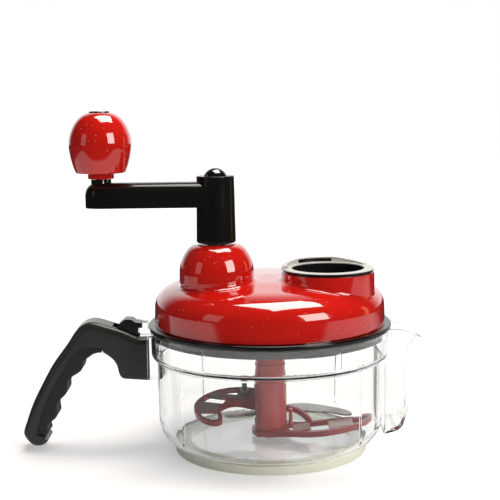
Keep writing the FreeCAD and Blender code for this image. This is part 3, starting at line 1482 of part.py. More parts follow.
def make_tool_tube():
    tube = turned("tool tube", [
        (s.tube_bore, s.tube_bottom),
        (s.tube_radius, s.tube_bottom),
        (s.tube_radius, s.tube_taper_height),
        (s.tube_neck_radius, s.tube_neck_height - 1.2),
        (s.tube_neck_radius + 0.5, s.tube_neck_height - 1),
        (s.tube_neck_radius + 0.5, s.tube_neck_height + 0.6),
        (s.tube_neck_radius, s.tube_neck_height + 0.8),
        (s.tube_neck_radius, s.tube_top - 1),
        (s.tube_neck_radius - 1, s.tube_top),
        (0, s.tube_top),
        (0, s.tube_web_bottom),
        (s.tube_bore, s.tube_web_bottom),
    ])
    socket = hexagon(s.coupling_hex + s.part_gap, s.socket_bottom, s.tube_top + 1)
    node("tool_tube", cut(tube, socket))
    node("tool_bush", turned("tool bush", [
        (s.pin_radius + s.running_gap, s.boss_top + s.fit_gap),
        (s.tube_bore - s.press_gap, s.boss_top + s.fit_gap),
        (s.tube_bore - s.press_gap, s.tube_web_bottom - s.press_gap),
        (0, s.tube_web_bottom - s.press_gap),
        (0, s.pin_top + s.part_gap),
        (s.pin_radius + s.running_gap, s.pin_top + s.part_gap),
    ]))


LOW_FRAME = [(-8.5, -11.8), (0.0, -15.8), (15.3, -23.5), (30.0, -31.0), (44.0, -32.5), (57.0, -29.0),
             (66.0, -21.5), (71.0, -14.0), (72.6, -8.0), (70.0, -5.5), (64.0, -8.5), (56.5, -7.5),
             (42.0, -5.0), (28.0, -3.5), (17.0, 2.0), (10.0, 10.2)]
LOW_SLOTS = [
    [(12.8, -15.5), (13.2, -4.0), (15.8, -3.0), (16.0, -20.2)],
    [(28.6, -26.6), (28.4, -7.6), (40.8, -8.6), (41.2, -29.2)],
    [(58.4, -23.6), (58.8, -13.0), (64.0, -12.0), (69.4, -10.6), (68.8, -15.0), (65.6, -19.8)],
]
HIGH_FRAME = [(-5.0, 16.5), (-10.5, 22.3), (-20.7, 24.3), (-33.1, 23.0), (-45.2, 16.6), (-52.6, 7.5),
              (-54.9, -1.1), (-54.0, -7.5), (-51.0, -14.0), (-46.5, -18.6), (-41.0, -21.4), (-36.4, -21.2),
              (-34.2, -17.6), (-35.0, -12.0), (-36.2, -6.5), (-33.0, -0.3), (-24.4, 4.5), (-14.0, 3.2),
              (-8.0, 3.6)]
HIGH_SLOTS = [
    [(-39.5, 16.4), (-38.0, 18.6), (-33.0, 20.4), (-24.0, 21.8), (-24.0, 13.8), (-33.0, 15.2)],
    [(-46.0, 12.0), (-31.5, 8.4), (-34.5, 1.8), (-49.1, 5.2)],
    [(-51.4, -8.6), (-38.4, -9.2), (-37.2, -14.0), (-36.9, -18.0), (-41.5, -18.8), (-46.5, -16.2)],
]


def scaled_outline(points, reach):
    """Plan points with their lengths scaled to a reach."""
    share = float(reach) / max(math.hypot(*p) for p in points)
    return [Vector(x * share, y * share, 0) for x, y in points]


def drawn_in(points, by):
    """Outline points moved inwards, each square to the line between its neighbours."""
    count = len(points)
    area = sum(a.x * b.y - b.x * a.y for a, b in zip(points, points[1:] + points[:1]))
    side = 1 if area > 0 else -1
    moved = []
    for i, point in enumerate(points):
        along = (points[(i + 1) % count] - points[i - 1]).normalize()
        moved.append(point + Vector(-along.y, along.x, 0) * (side * by))
    return moved


def blade_frame(outline, slots):
    """A flat slotted frame: a rim all round, and thinner bars flush with its top."""
    height = float(s.frame_height)
    plate = Part.Face(smooth_wire(outline)).extrude(Vector(0, 0, height))
    inner = Part.Face(smooth_wire(drawn_in(outline, float(s.frame_rim))))
    dish = inner.extrude(Vector(0, 0, height - float(s.frame_bar) + 1))
    dish.translate(Vector(0, 0, -1))
    plate = plate.cut(dish)
    for slot in slots:
        corners = [Vector(x, y, -1) for x, y in slot]
        hole = Part.Face(Part.makePolygon(corners + corners[:1])).extrude(Vector(0, 0, height + 2))
        plate = plate.cut(hole)
    return plate


def frame_web(outline):
    """The upper frame's inner rim, which gets deeper towards the tube."""
    depth = float(s.frame_web)
    strip = Part.Face(smooth_wire(outline)).extrude(Vector(0, 0, depth + 1))
    strip = strip.cut(Part.Face(smooth_wire(drawn_in(outline, float(s.frame_rim)))).extrude(
        Vector(0, 0, depth + 1)))
    strip.translate(Vector(0, 0, -depth))
    taper = [Vector(-36, -8, 0.5), Vector(-10, -8, -depth), Vector(-10, -8, 1), Vector(-36, -8, 1)]
    wedge = Part.Face(Part.makePolygon(taper + taper[:1])).extrude(Vector(0, 18, 0))
    return strip.common(wedge)


def make_tool_frames():
    tube_hole = Part.makeCylinder(float(s.tube_radius + s.press_gap), float(s.tube_top), Vector(0, 0, 0))
    low = blade_frame(scaled_outline(LOW_FRAME, s.low_frame_reach), LOW_SLOTS)
    low.rotate(Vector(0, 0, 0), Vector(0, 1, 0), -float(s.low_frame_tilt))
    low.translate(Vector(0, 0, float(s.low_frame_height)))
    disc = Part.makeCylinder(float(s.low_frame_disc), float(s.frame_height),
                             Vector(0, 0, float(s.low_frame_height) - 1))
    low = low.fuse([disc, arch_form()]).cut(tube_hole).removeSplitter()
    node("lower_frame", free_form(biggest_solid(low)))
    outline = scaled_outline(HIGH_FRAME, s.high_frame_reach)
    high = blade_frame(outline, HIGH_SLOTS).fuse(frame_web(outline))
    high.rotate(Vector(0, 0, 0), Vector(1, 0, 0), float(s.high_frame_tilt))
    high.translate(Vector(0, 0, float(s.high_frame_height)))
    high = high.cut(tube_hole).removeSplitter()
    node("upper_frame", free_form(biggest_solid(high)))


def biggest_solid(shape):
    """The main solid of a cut shape."""
    return max(shape.Solids, key=lambda solid: solid.Volume)


def arch_form():
    """Curved brace from the tube down to the lower frame's inner rim."""
    thick = float(s.frame_rim) * 1.5
    start = Vector(9.5, 2.5, 0)
    along = Vector(21.5, -9.5, 0).normalize()
    reach = float(s.arch_reach) - start.Length
    end = start + along * reach
    foot = float(s.low_frame_height) + float(s.frame_height) + end.x * math.tan(math.radians(
        float(s.low_frame_tilt))) - 1.5
    head = float(s.arch_head)

    def spot(share, rise):
        point = start + along * (reach * share)
        return Vector(point.x, point.y, rise)

    upper = curve_through([spot(0, head), spot(0.35, head - 0.6), spot(0.75, head - 4.5), spot(1, foot)])
    lower = curve_through([spot(0, head - thick), spot(0.33, head - thick - 0.5),
                           spot(0.64, head - thick - 3.6), spot(0.85, foot)])
    ends = [Part.LineSegment(spot(0, head), spot(0, head - thick)).toShape(),
            Part.LineSegment(spot(1, foot), spot(0.85, foot)).toShape()]
    face = Part.Face(Part.Wire(Part.__sortEdges__([upper, lower, *ends])))
    normal = along.cross(Vector(0, 0, 1)).normalize()
    solid = face.extrude(normal * thick)
    solid.translate(normal * (-thick / 2))
    return solid


RIGHT_BLADE = [(9.0, 12.0), (16.0, 22.0), (27.0, 22.5), (37.0, 18.0), (48.0, 10.0), (56.0, 1.5), (57.5, -7.5),
               (54.0, -8.0), (45.0, -2.5), (31.0, 1.5), (18.0, 3.8), (10.0, 4.5)]
LEFT_BLADE = [(-9.0, 5.0), (-20.0, 5.5), (-29.0, 3.5), (-33.2, -3.0), (-31.5, -9.0), (-24.0, -11.0),
              (-15.0, -9.0), (-9.0, -6.5)]


def make_blades():
    """Steel blades, each held in the tube's wall."""
    tube_hole = Part.makeCylinder(float(s.tube_radius + s.press_gap), float(s.tube_top), Vector(0, 0, 0))
    solids = []
    for outline in (RIGHT_BLADE, LEFT_BLADE):
        face = Part.Face(smooth_wire([Vector(x, y, float(s.blade_height)) for x, y in outline]))
        blade = face.extrude(Vector(0, 0, float(s.blade_wall))).cut(tube_hole)
        solids.append(biggest_solid(blade))
    node("chopping_blades", free_form(Part.makeCompound(solids)))


UPPER_PEG_SPOT = (-18.8, 17.0)
LOWER_PEG_SPOT = (14.3, -5.2)


def make_pegs():
    """Small pegs that stand on the frames."""
    tilt = math.tan(math.radians(float(s.high_frame_tilt)))
    x, y = UPPER_PEG_SPOT
    high_seat = float(s.high_frame_height) + float(s.frame_height) / math.cos(math.radians(
        float(s.high_frame_tilt))) + y * tilt
    node("upper_peg", free_form(seated_peg(Vector(x, y, high_seat), float(s.peg_radius),
                                           float(s.upper_peg_height), nodes["upper_frame"])))
    slope = math.tan(math.radians(float(s.low_frame_tilt)))
    x, y = LOWER_PEG_SPOT
    low_seat = float(s.low_frame_height) + float(s.frame_height) / math.cos(math.radians(
        float(s.low_frame_tilt))) + x * slope
    node("lower_peg", free_form(seated_peg(Vector(x, y, low_seat), float(s.peg_radius) * 0.7,
                                           float(s.lower_peg_height), nodes["lower_frame"])))


def seated_peg(seat, radius, height, frame):
    """A peg with a foot and a ringed head, cut flush with the frame that it stands on."""
    foot = Part.makeCylinder(radius * 1.7, 3.2, seat - Vector(0, 0, 2))
    stem = Part.makeCylinder(radius, height, seat)
    head = Part.makeTorus(radius, radius * 0.35, seat + Vector(0, 0, height - radius * 0.35))
    peg = foot.fuse([stem, head]).cut(frame.Shape)
    return biggest_solid(peg)


make_bowl()
make_base_ring()
make_pivot_pin()
make_handle()
make_latch()
make_lid_base()
make_lid_cover()
make_tower()
make_chute()
make_lid_hardware()
make_gears()
make_crank_shaft()
make_drive()
make_crank_arm()
make_hub_cap()
make_crank_screw()
make_knob()
make_tool_tube()
make_tool_frames()
make_blades()
make_pegs()
doc.recompute()

# Nothing is written unless every object built and every sub-part is a sound solid
faults = [f"{o.Name} ({o.Label}): {o.State}" for o in doc.Objects
          if "Invalid" in o.State or "Error" in o.State]
for name, piece in nodes.items():
    shape = piece.Shape
    if shape.isNull() or not shape.isValid() or not shape.Solids:
        faults.append(f"{name}: no sound solid")
if faults:
    raise RuntimeError("; ".join(faults))

os.makedirs("parts", exist_ok=True)
for name, piece in nodes.items():
    piece.Shape.exportStep(f"parts/{name}.step")
    print(f"{name}: {len(piece.Shape.Solids)} solids, {piece.Shape.Volume / 1000:.2f} cm3")
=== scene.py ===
# %% [markdown]
# # A hand-cranked food processor
# The clear bowl, its handle, the geared lid and the crank come from the CAD model as a fixed frame.
# This lesson lights that frame like a studio photograph and dresses every piece in its real finish:
# clear plastic, glossy red and black mouldings, nylon gears and polished steel.

# %% Load the frame
import bmesh
import bpy
import json
import math
from mathutils import Matrix, Vector


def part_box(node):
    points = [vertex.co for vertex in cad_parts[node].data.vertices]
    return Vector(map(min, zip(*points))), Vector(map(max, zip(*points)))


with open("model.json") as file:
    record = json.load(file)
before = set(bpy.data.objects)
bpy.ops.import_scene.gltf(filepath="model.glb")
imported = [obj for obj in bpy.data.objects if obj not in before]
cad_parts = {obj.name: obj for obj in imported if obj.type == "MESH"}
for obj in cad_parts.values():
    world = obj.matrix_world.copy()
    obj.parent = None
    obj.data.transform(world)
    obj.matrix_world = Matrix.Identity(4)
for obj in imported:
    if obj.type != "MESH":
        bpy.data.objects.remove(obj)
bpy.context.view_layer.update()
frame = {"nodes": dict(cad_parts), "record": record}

MM = 0.001

# %% [markdown]
# ## The camera
# A product photograph is taken with a long lens from a little above the table. The place, the
# downward tilt and the slight roll below put the rims of the lid and the base on the same ellipses
# as in the photograph. The matrix is built from the view direction, so no helper is needed.

# %% Camera
CAMERA_PLACE = Vector((-14.0, -780.0, 246.5)) * MM
CAMERA_DOWN = 0.1334
CAMERA_YAW = 0.0009
CAMERA_ROLL = -0.0130
SENSOR_WIDTH = 36.0
LENS = 80.2


def studio_camera():
    """The camera, looking towards +Y and a little down."""
    forward = Vector((math.sin(CAMERA_YAW) * math.cos(CAMERA_DOWN),
                      math.cos(CAMERA_YAW) * math.cos(CAMERA_DOWN), -math.sin(CAMERA_DOWN)))
    level = Vector((math.cos(CAMERA_YAW), -math.sin(CAMERA_YAW), 0.0))
    upright = level.cross(forward)
    right = math.cos(CAMERA_ROLL) * level + math.sin(CAMERA_ROLL) * upright
    top = -math.sin(CAMERA_ROLL) * level + math.cos(CAMERA_ROLL) * upright
    lens = bpy.data.cameras.new("studio_camera")
    lens.sensor_width = SENSOR_WIDTH
    lens.lens = LENS
    camera = bpy.data.objects.new("studio_camera", lens)
    camera.matrix_world = Matrix((
        (right.x, top.x, -forward.x, CAMERA_PLACE.x),
        (right.y, top.y, -forward.y, CAMERA_PLACE.y),
        (right.z, top.z, -forward.z, CAMERA_PLACE.z),
        (0.0, 0.0, 0.0, 1.0),
    ))
    bpy.context.scene.collection.objects.link(camera)
    bpy.context.scene.camera = camera
    return camera


studio_camera()
print("camera at", tuple(CAMERA_PLACE), "lens", LENS)

# %% [markdown]
# ## Backdrop, floor and lamps
# The photograph has a white sweep behind the object and soft boxes in a dark room in front of it.
# Rays from the camera always see white. Gloss and clear plastic see that white only where it is,
# behind the object, and a dark room in front, which is what draws dark lines along the edges of the
# clear bowl. Everything matt gets one plain, even level of light.

# %% World
ROOM_LIGHT = 0.17
ROOM_DARK = 0.03
BACKDROP_SIDE = (0.5, 0.88)
BACKDROP_FOOT = (-0.2, -0.1)
CLEAR_SIDE = (-0.15, 0.45)


def background(nodes, strength):
    """A white background shader of one strength."""
    shader = nodes.new("ShaderNodeBackground")
    shader.inputs["Color"].default_value = (1.0, 1.0, 1.0, 1.0)
    shader.inputs["Strength"].default_value = strength
    return shader


def ramp(nodes, links, value, start, end, low, high, smooth=False):
    """Map a value from one range to another."""
    step = nodes.new("ShaderNodeMapRange")
    step.interpolation_type = "SMOOTHSTEP" if smooth else "LINEAR"
    step.inputs["From Min"].default_value = start
    step.inputs["From Max"].default_value = end
    step.inputs["To Min"].default_value = low
    step.inputs["To Max"].default_value = high
    links.new(value, step.inputs["Value"])
    return step.outputs["Result"]


def maths(nodes, links, operation, one, other):
    """A maths node of two values, each a socket or a number."""
    step = nodes.new("ShaderNodeMath")
    step.operation = operation
    for value, socket in zip((one, other), step.inputs):
        if isinstance(value, (int, float)):
            socket.default_value = value
        else:
            links.new(value, socket)
    return step.outputs[0]


def studio_world():
    """White to the camera, white behind the object for gloss and clear pieces, and an even level
    for everything matt."""
    world = bpy.data.worlds.new("studio")
    world.use_nodes = True
    nodes, links = world.node_tree.nodes, world.node_tree.links
    nodes.clear()
    out = nodes.new("ShaderNodeOutputWorld")
    direction = nodes.new("ShaderNodeTexCoord")
    parts = nodes.new("ShaderNodeSeparateXYZ")
    path = nodes.new("ShaderNodeLightPath")
    links.new(direction.outputs["Generated"], parts.inputs[0])
    backdrop = maths(nodes, links, "MULTIPLY",
                     ramp(nodes, links, parts.outputs["Y"], *BACKDROP_SIDE, 0.0, 1.0, True),
                     ramp(nodes, links, parts.outputs["Z"], *BACKDROP_FOOT, 0.0, 1.0, True))
    backdrop = maths(nodes, links, "MAXIMUM", backdrop, ROOM_DARK)
    clear = ramp(nodes, links, parts.outputs["Y"], *CLEAR_SIDE, ROOM_DARK, 1.0, True)
    last = background(nodes, ROOM_LIGHT)
    for ray, strength in (("Is Glossy Ray", backdrop), ("Is Transmission Ray", clear),
                          ("Is Camera Ray", None)):
        seen = background(nodes, 1.0)
        if strength is not None:
            links.new(strength, seen.inputs["Strength"])
        mix = nodes.new("ShaderNodeMixShader")
        links.new(path.outputs[ray], mix.inputs[0])
        links.new(last.outputs[0], mix.inputs[1])
        links.new(seen.outputs[0], mix.inputs[2])
        last = mix
    links.new(last.outputs[0], out.inputs["Surface"])
    bpy.context.scene.world = world
    return world


studio_world()

# %% [markdown]
# The table top is pale paint with a little glow of its own for the camera, more of it further away,
# so that it meets the white sweep without a line. In the glossy pieces the table is a pale oblong
# that ends in front of the object and behind it, as it does in the photograph, and far behind the
# object the sweep comes down to it. A ray that passed through clear plastic counts as glossy too, so
# the reflected look is only given to glossy rays that didn't.

# %% Floor
FLOOR_HALF = 4.0
FLOOR_DROP = 0.2
FLOOR_TONE = 0.78
FLOOR_NEAR, FLOOR_FAR = 0.25, 1.1
GLOW_NEAR, GLOW_FAR = 0.33, 1.0
TABLE_FRONT = (-0.47, -0.41)
TABLE_BACK = (0.25, 0.4)
TABLE_SIDE = (0.84, 0.93)
TABLE_SHINE = 0.5
SWEEP_SIDE = (0.9, 0.985)


def studio_floor():
    """A wide pale table top just under the object."""
    mesh = bmesh.new()
    bmesh.ops.create_grid(mesh, x_segments=1, y_segments=1, size=FLOOR_HALF)
    data = bpy.data.meshes.new("floor")
    mesh.to_mesh(data)
    mesh.free()
    floor = bpy.data.objects.new("floor", data)
    floor.location.z = -FLOOR_DROP * MM
    bpy.context.scene.collection.objects.link(floor)
    material = bpy.data.materials.new("floor_white")
    material.use_nodes = True
    nodes, links = material.node_tree.nodes, material.node_tree.links
    shader = nodes["Principled BSDF"]
    shader.inputs["Base Color"].default_value = (FLOOR_TONE, FLOOR_TONE, FLOOR_TONE, 1.0)
    shader.inputs["Roughness"].default_value = 0.6
    shader.inputs["Specular IOR Level"].default_value = 0.2
    shader.inputs["Emission Color"].default_value = (1.0, 1.0, 1.0, 1.0)
    place = nodes.new("ShaderNodeTexCoord")
    reach = nodes.new("ShaderNodeVectorMath")
    reach.operation = "LENGTH"
    parts = nodes.new("ShaderNodeSeparateXYZ")
    path = nodes.new("ShaderNodeLightPath")
    links.new(place.outputs["Object"], reach.inputs[0])
    links.new(place.outputs["Object"], parts.inputs[0])
    glow = ramp(nodes, links, reach.outputs["Value"], FLOOR_NEAR, FLOOR_FAR, GLOW_NEAR, GLOW_FAR)
    seen = maths(nodes, links, "MAXIMUM", path.outputs["Is Camera Ray"], path.outputs["Is Transmission Ray"])
    links.new(maths(nodes, links, "MULTIPLY", glow, seen), shader.inputs["Emission Strength"])
    front = ramp(nodes, links, parts.outputs["Y"], *TABLE_FRONT, 0.0, TABLE_SHINE)
    back = ramp(nodes, links, parts.outputs["Y"], *TABLE_BACK, 1.0, 0.0)
    aside = maths(nodes, links, "ABSOLUTE", parts.outputs["X"], 0.0)
    table = maths(nodes, links, "MULTIPLY", maths(nodes, links, "MULTIPLY", front, back),
                  ramp(nodes, links, aside, *TABLE_SIDE, 1.0, 0.0))
    bearing = maths(nodes, links, "DIVIDE", parts.outputs["Y"], reach.outputs["Value"])
    sweep = ramp(nodes, links, bearing, *SWEEP_SIDE, ROOM_DARK, 1.0, True)
    mirrored = nodes.new("ShaderNodeEmission")
    links.new(maths(nodes, links, "MAXIMUM", table, sweep), mirrored.inputs["Strength"])
    mix = nodes.new("ShaderNodeMixShader")
    reflected = maths(nodes, links, "SUBTRACT", path.outputs["Is Glossy Ray"],
                      path.outputs["Is Transmission Ray"])
    links.new(reflected, mix.inputs[0])
    links.new(shader.outputs[0], mix.inputs[1])
    links.new(mirrored.outputs[0], mix.inputs[2])
    links.new(mix.outputs[0], nodes["Material Output"].inputs["Surface"])
    data.materials.append(material)
    return floor


studio_floor()

# %% Lamps
AIM = Vector((0.0, 0.0, 0.12))
WARM = (1.0, 0.955, 0.9)
AMBER = (1.0, 0.5, 0.16)


def soft_box(name, place, size, power, color=WARM):
    """An oblong lamp aimed at the object."""
    lamp = bpy.data.lights.new(name, "AREA")
    lamp.shape = "RECTANGLE"
    lamp.color = color
    lamp.size, lamp.size_y = size
    lamp.energy = power
    box = bpy.data.objects.new(name, lamp)
    box.location = place
    box.rotation_euler = (AIM - Vector(place)).to_track_quat("-Z", "Y").to_euler()
    bpy.context.scene.collection.objects.link(box)
    return box


soft_box("top_box", (0.17, 0.12, 1.45), (0.9, 0.9), 20.0)
soft_box("right_box", (0.92, -0.92, 0.66), (0.62, 0.85), 9.0)
soft_box("left_box", (-1.15, -0.72, 0.5), (0.45, 0.75), 0.55)
soft_box("amber_strip", (1.15, 0.33, 0.2), (0.13, 0.7), 0.3, AMBER)

# %% [markdown]
# ## Finishes
# Every finish is a Principled shader with its own bump: moulded plastic is never perfectly flat, so
# a faint, wide waviness bends its highlights, and matt pieces have a fine grain. The colour drifts a
# little over a moulding, and handling leaves a slightly uneven gloss.

# %% Finishes
TONE_SCALE, TOUCH_SCALE = 22.0, 70.0
TOUCH_LOW, TOUCH_HIGH = 0.3, 0.7


def noise(nodes, links, place, scale, detail=2.0):
    """A noise texture on the piece's own coordinates."""
    texture = nodes.new("ShaderNodeTexNoise")
    texture.inputs["Scale"].default_value = scale
    texture.inputs["Detail"].default_value = detail
    links.new(place.outputs["Object"], texture.inputs["Vector"])
    return texture


def finish(name, color, roughness, wave=0.0, wave_scale=40.0, grain=0.0, grain_scale=2500.0, drift=0.08,
           smear=0.3, **sockets):
    """A named plastic or metal. wave and grain are bump heights in millimetres."""
    material = bpy.data.materials.new(name)
    material.use_nodes = True
    nodes, links = material.node_tree.nodes, material.node_tree.links
    shader = nodes["Principled BSDF"]
    for socket, value in sockets.items():
        shader.inputs[socket.replace("_", " ")].default_value = value
    place = nodes.new("ShaderNodeTexCoord")
    tone = noise(nodes, links, place, TONE_SCALE)
    shade = nodes.new("ShaderNodeMix")
    shade.data_type = "RGBA"
    shade.inputs["A"].default_value = (*[c * (1 - drift) for c in color], 1.0)
    shade.inputs["B"].default_value = (*[min(1.0, c * (1 + drift)) for c in color], 1.0)
    links.new(tone.outputs["Fac"], shade.inputs["Factor"])
    links.new(shade.outputs["Result"], shader.inputs["Base Color"])
    touch = noise(nodes, links, place, TOUCH_SCALE, 3.0)
    gloss = ramp(nodes, links, touch.outputs["Fac"], TOUCH_LOW, TOUCH_HIGH,
                 roughness * (1 - smear), roughness * (1 + smear))
    links.new(gloss, shader.inputs["Roughness"])
    last = None
    for height, scale in ((wave, wave_scale), (grain, grain_scale)):
        if not height:
            continue
        surface = noise(nodes, links, place, scale)
        bump = nodes.new("ShaderNodeBump")
        bump.inputs["Strength"].default_value = 1.0
        bump.inputs["Distance"].default_value = height * MM
        links.new(surface.outputs["Fac"], bump.inputs["Height"])
        if last is not None:
            links.new(last.outputs["Normal"], bump.inputs["Normal"])
        last = bump
    if last is not None:
        links.new(last.outputs["Normal"], shader.inputs["Normal"])
    return material


def painted(material, mask, color):
    """Give a finish another colour where a mask is 1."""
    nodes, links = material.node_tree.nodes, material.node_tree.links
    shader = nodes["Principled BSDF"]
    own = shader.inputs["Base Color"].links[0].from_socket
    shade = nodes.new("ShaderNodeMix")
    shade.data_type = "RGBA"
    shade.inputs["B"].default_value = (*color, 1.0)
    links.new(mask, shade.inputs["Factor"])
    links.new(own, shade.inputs["A"])
    links.new(shade.outputs["Result"], shader.inputs["Base Color"])
    return material


def between(nodes, links, value, low, high):
    """A mask that is 1 where a value lies between two bounds."""
    return maths(nodes, links, "MULTIPLY", maths(nodes, links, "GREATER_THAN", value, low),
                 maths(nodes, links, "LESS_THAN", value, high))


def box_mask(material, low, high):
    """A mask that is 1 inside a box given in millimetres."""
    nodes, links = material.node_tree.nodes, material.node_tree.links
    place = nodes.new("ShaderNodeTexCoord")
    parts = nodes.new("ShaderNodeSeparateXYZ")
    links.new(place.outputs["Object"], parts.inputs[0])
    mask = None
    for axis, start, end in zip("XYZ", low, high):
        side = between(nodes, links, parts.outputs[axis], start * MM, end * MM)
        mask = side if mask is None else maths(nodes, links, "MULTIPLY", mask, side)
    return mask


def ring_mask(material, middle, inner, outer, low, high):
    """A mask that is 1 in a ring about an upright axis, in millimetres."""
    nodes, links = material.node_tree.nodes, material.node_tree.links
    place = nodes.new("ShaderNodeTexCoord")
    shift = nodes.new("ShaderNodeVectorMath")
    shift.operation = "SUBTRACT"
    shift.inputs[1].default_value = (middle[0] * MM, middle[1] * MM, 0.0)
    flat = nodes.new("ShaderNodeVectorMath")
    flat.operation = "MULTIPLY"
    flat.inputs[1].default_value = (1.0, 1.0, 0.0)
    reach = nodes.new("ShaderNodeVectorMath")
    reach.operation = "LENGTH"
    parts = nodes.new("ShaderNodeSeparateXYZ")
    links.new(place.outputs["Object"], shift.inputs[0])
    links.new(shift.outputs[0], flat.inputs[0])
    links.new(flat.outputs[0], reach.inputs[0])
    links.new(place.outputs["Object"], parts.inputs[0])
    across = between(nodes, links, reach.outputs["Value"], inner * MM, outer * MM)
    return maths(nodes, links, "MULTIPLY", across,
                 between(nodes, links, parts.outputs["Z"], low * MM, high * MM))


FACING_UP = (0.9, 1.1)


def top_mask(material):
    """A mask that is 1 where a surface faces up."""
    nodes, links = material.node_tree.nodes, material.node_tree.links
    geometry = nodes.new("ShaderNodeNewGeometry")
    parts = nodes.new("ShaderNodeSeparateXYZ")
    links.new(geometry.outputs["Normal"], parts.inputs[0])
    return between(nodes, links, parts.outputs["Z"], *FACING_UP)

# %% [markdown]
# The red mouldings are lacquer-like: a strong clear coat over a deep red. A few pale specks of dust
# sit on them, as in the photograph. Each speck is the middle of a cell in a Voronoi pattern.

# %% Red finish
RED = (0.63, 0.0095, 0.005)
DUST = (0.9, 0.62, 0.56)


def red_lacquer(name, wave, cells, speck):
    """Glossy red moulding with a little dust."""
    material = finish(name, RED, 0.1, wave=wave, Coat_Weight=1.0,
                      Coat_Roughness=0.025, Coat_IOR=1.75)
    nodes, links = material.node_tree.nodes, material.node_tree.links
    place = nodes.new("ShaderNodeTexCoord")
    pattern = nodes.new("ShaderNodeTexVoronoi")
    pattern.inputs["Scale"].default_value = cells
    links.new(place.outputs["Object"], pattern.inputs["Vector"])
    return painted(material, maths(nodes, links, "LESS_THAN", pattern.outputs["Distance"], speck), DUST)

# %% [markdown]
# The bowl is clear plastic. Its shadow rays are let through, so that lamps light what the bowl holds.
# The locking lugs inside its rim and the top of the rim are slightly frosted.

# %% Clear finish
BOWL_AXIS = (0.0, 0.0)
LUG_RING = (70.0, 81.5, 82.3, 85.5)
RIM_RING = (70.0, 95.0, 86.8, 88.0)
FROST = 0.3
RIPPLE_SCALE, RIPPLE_HEIGHT = 60.0, 0.02


def clear_finish(name, color, ior, shadow):
    """Clear plastic that lets the lamps through, so that what it holds is lit."""
    material = bpy.data.materials.new(name)
    material.use_nodes = True
    nodes, links = material.node_tree.nodes, material.node_tree.links
    shader = nodes["Principled BSDF"]
    shader.inputs["Base Color"].default_value = (*color, 1.0)
    shader.inputs["IOR"].default_value = ior
    shader.inputs["Transmission Weight"].default_value = 1.0
    place = nodes.new("ShaderNodeTexCoord")
    ripple = noise(nodes, links, place, RIPPLE_SCALE)
    bump = nodes.new("ShaderNodeBump")
    bump.inputs["Distance"].default_value = RIPPLE_HEIGHT * MM
    links.new(ripple.outputs["Fac"], bump.inputs["Height"])
    links.new(bump.outputs["Normal"], shader.inputs["Normal"])
    frost = maths(nodes, links, "MAXIMUM", ring_mask(material, BOWL_AXIS, *LUG_RING),
                  ring_mask(material, BOWL_AXIS, *RIM_RING))
    links.new(ramp(nodes, links, frost, 0.0, 1.0, 0.0, FROST), shader.inputs["Roughness"])
    path = nodes.new("ShaderNodeLightPath")
    through = nodes.new("ShaderNodeBsdfTransparent")
    through.inputs["Color"].default_value = (*shadow, 1.0)
    mix = nodes.new("ShaderNodeMixShader")
    links.new(path.outputs["Is Shadow Ray"], mix.inputs[0])
    links.new(shader.outputs[0], mix.inputs[1])
    links.new(through.outputs[0], mix.inputs[2])
    links.new(mix.outputs[0], nodes["Material Output"].inputs["Surface"])
    return material

# %% [markdown]
# Now the whole list. Blacks are nearly black, because their gloss adds the light of the room.

# %% All finishes
BLACK = (0.004, 0.004, 0.004)
WORN_BLACK = (0.028, 0.031, 0.027)
SMOKE = (0.07, 0.072, 0.069)
finishes = {
    "clear_bowl": clear_finish("clear_bowl", (0.945, 0.953, 0.953), 1.44, (0.9, 0.905, 0.9)),
    "pale_ring": finish("pale_ring", (0.88, 0.9, 0.77), 0.5, grain=0.02),
    "steel": finish("steel", (0.6, 0.6, 0.61), 0.25, grain=0.004, Metallic=1.0),
    "blade_steel": finish("blade_steel", (0.36, 0.33, 0.31), 0.3, grain=0.004, Metallic=1.0),
    "black_gloss": finish("black_gloss", WORN_BLACK, 0.2, wave=0.05),
    "black_grip": finish("black_grip", WORN_BLACK, 0.6, grain=0.01, Specular_IOR_Level=0.25),
    "black_lever": finish("black_lever", BLACK, 0.14, wave=0.04),
    "smoke_lid": finish("smoke_lid", (0.005, 0.006, 0.006), 0.12, wave=0.01),
    "red_gloss": red_lacquer("red_gloss", 0.004, 230.0, 0.05),
    "red_tower": red_lacquer("red_tower", 0.003, 330.0, 0.08),
    "red_knob": red_lacquer("red_knob", 0.006, 330.0, 0.08),
    "black_liner": finish("black_liner", (0.012, 0.012, 0.012), 0.12, wave=0.03),
    "pale_rim": finish("pale_rim", (0.6, 0.6, 0.57), 0.3, grain=0.01),
    "nylon": finish("nylon", (0.75, 0.75, 0.7), 0.5, grain=0.01),
    "black_arm": finish("black_arm", (0.007, 0.007, 0.006), 0.13, wave=0.04),
    "black_cap": finish("black_cap", BLACK, 0.06, wave=0.01, Coat_Weight=1.0, Coat_IOR=1.7),
    "black_coupling": finish("black_coupling", BLACK, 0.4, grain=0.01),
    "red_tube": finish("red_tube", (0.42, 0.055, 0.055), 0.15, wave=0.03),
    "dark_peg": finish("dark_peg", (0.045, 0.03, 0.026), 0.3, grain=0.01),
}
print("finishes:", len(finishes))
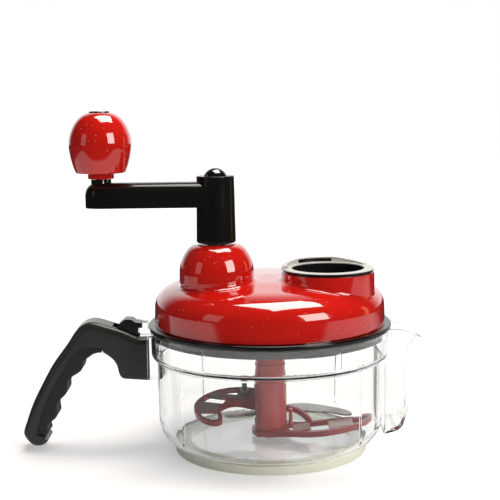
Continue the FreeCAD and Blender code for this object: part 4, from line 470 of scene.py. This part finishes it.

# %% [markdown]
# Some mouldings show two colours. The lid's base is black at its flange and smoke grey below. The
# chute's ring is pale on top and black round its side, and its slot is painted black as painted shade.
# The flat bars of the tool's frames get painted light: their tops a greyer, brownish tone than their
# rims, and the other faces of the upper bars a dark painted shade. Each second colour is a box or a
# ring in the piece's own coordinates, so it stays put when the piece moves.

# %% Second colours
FLANGE_UNDERSIDE = 87.5
# Bar colours are painted light and shade: a lighter brownish tone on the tops for the light they catch, a
# dark tone on the upper bars' other faces for their shade.
UPPER_BAR_PAINTED_LIGHT, LOWER_BAR_PAINTED_LIGHT = (0.2, 0.14, 0.12), (0.36, 0.23, 0.21)
BAR_PAINTED_SHADE, FRAME_RED = (0.03, 0.02, 0.018), (0.26, 0.014, 0.018)
HOOD_RISE = 3.3
RIM_SIDE, RIM_LIP = 0.25, 0.3
SLOT_LOW, SLOT_HIGH = (20.9, -4.5, 0.2), (44.7, 12.0, 2.6)
low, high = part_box("chute_rim")
rim_middle = ((low[0] + high[0]) / 2 / MM, (low[1] + high[1]) / 2 / MM)
rim_reach = (high[0] - low[0]) / 2 / MM
rim_top = high[2] / MM - HOOD_RISE
smoke, rim = finishes["smoke_lid"], finishes["pale_rim"]
painted(smoke, box_mask(smoke, (-90, -90, 0), (90, 90, FLANGE_UNDERSIDE)), SMOKE)
painted(rim, ring_mask(rim, rim_middle, rim_reach - RIM_SIDE, rim_reach + 1, 0, rim_top - RIM_LIP), BLACK)
# The slot's walls are painted black: a painted shade inside the slot.
painted(rim, box_mask(rim, (*SLOT_LOW[:2], rim_top + SLOT_LOW[2]), (*SLOT_HIGH[:2], rim_top + SLOT_HIGH[2])),
        BLACK)
BARS = {
    "upper_bars": (UPPER_BAR_PAINTED_LIGHT, BAR_PAINTED_SHADE, (((-51.0, -9.4), (-37.4, 4.0)), ((-44.0, 7.9), (-19.0, 15.3)))),
    "lower_bars": (LOWER_BAR_PAINTED_LIGHT, FRAME_RED, (((15.6, -21.5), (28.0, -6.5)), ((41.0, -26.5), (57.6, -10.0)))),
}
# Each bar box first gets its side colour, which is a painted shade on the upper bars, and then a painted
# light tone on its faces that face up.
for name, (color, side, bars) in BARS.items():
    material = finish(name, FRAME_RED, 0.2, wave=0.03)
    finishes[name] = material
    for (x0, y0), (x1, y1) in bars:
        bar = box_mask(material, (x0, y0, 0), (x1, y1, 60))
        painted(material, bar, side)
        top = maths(material.node_tree.nodes, material.node_tree.links, "MULTIPLY", bar, top_mask(material))
        painted(material, top, color)
print("chute ring about", [round(v, 1) for v in rim_middle], "reach", round(rim_reach, 1))

# %% [markdown]
# The CAD record names a material slot for each node. Every node gets that slot's finish, apart from
# the two frames, which have a finish each because their bars lie in different places.

# %% Dress the CAD nodes
SLOT_OF = {row["node"]: row["material_slot"] for row in frame["record"]["subparts"]}
OWN_FINISH = {"upper_frame": "upper_bars", "lower_frame": "lower_bars"}
for node, piece in frame["nodes"].items():
    piece.data.materials.clear()
    piece.data.materials.append(finishes[OWN_FINISH.get(node, SLOT_OF[node])])
print("dressed:", len(frame["nodes"]))

# %% [markdown]
# The view transform is Standard, so that a colour renders as it is written.

# %% Colour management and the end
bpy.context.scene.view_settings.view_transform = "Standard"
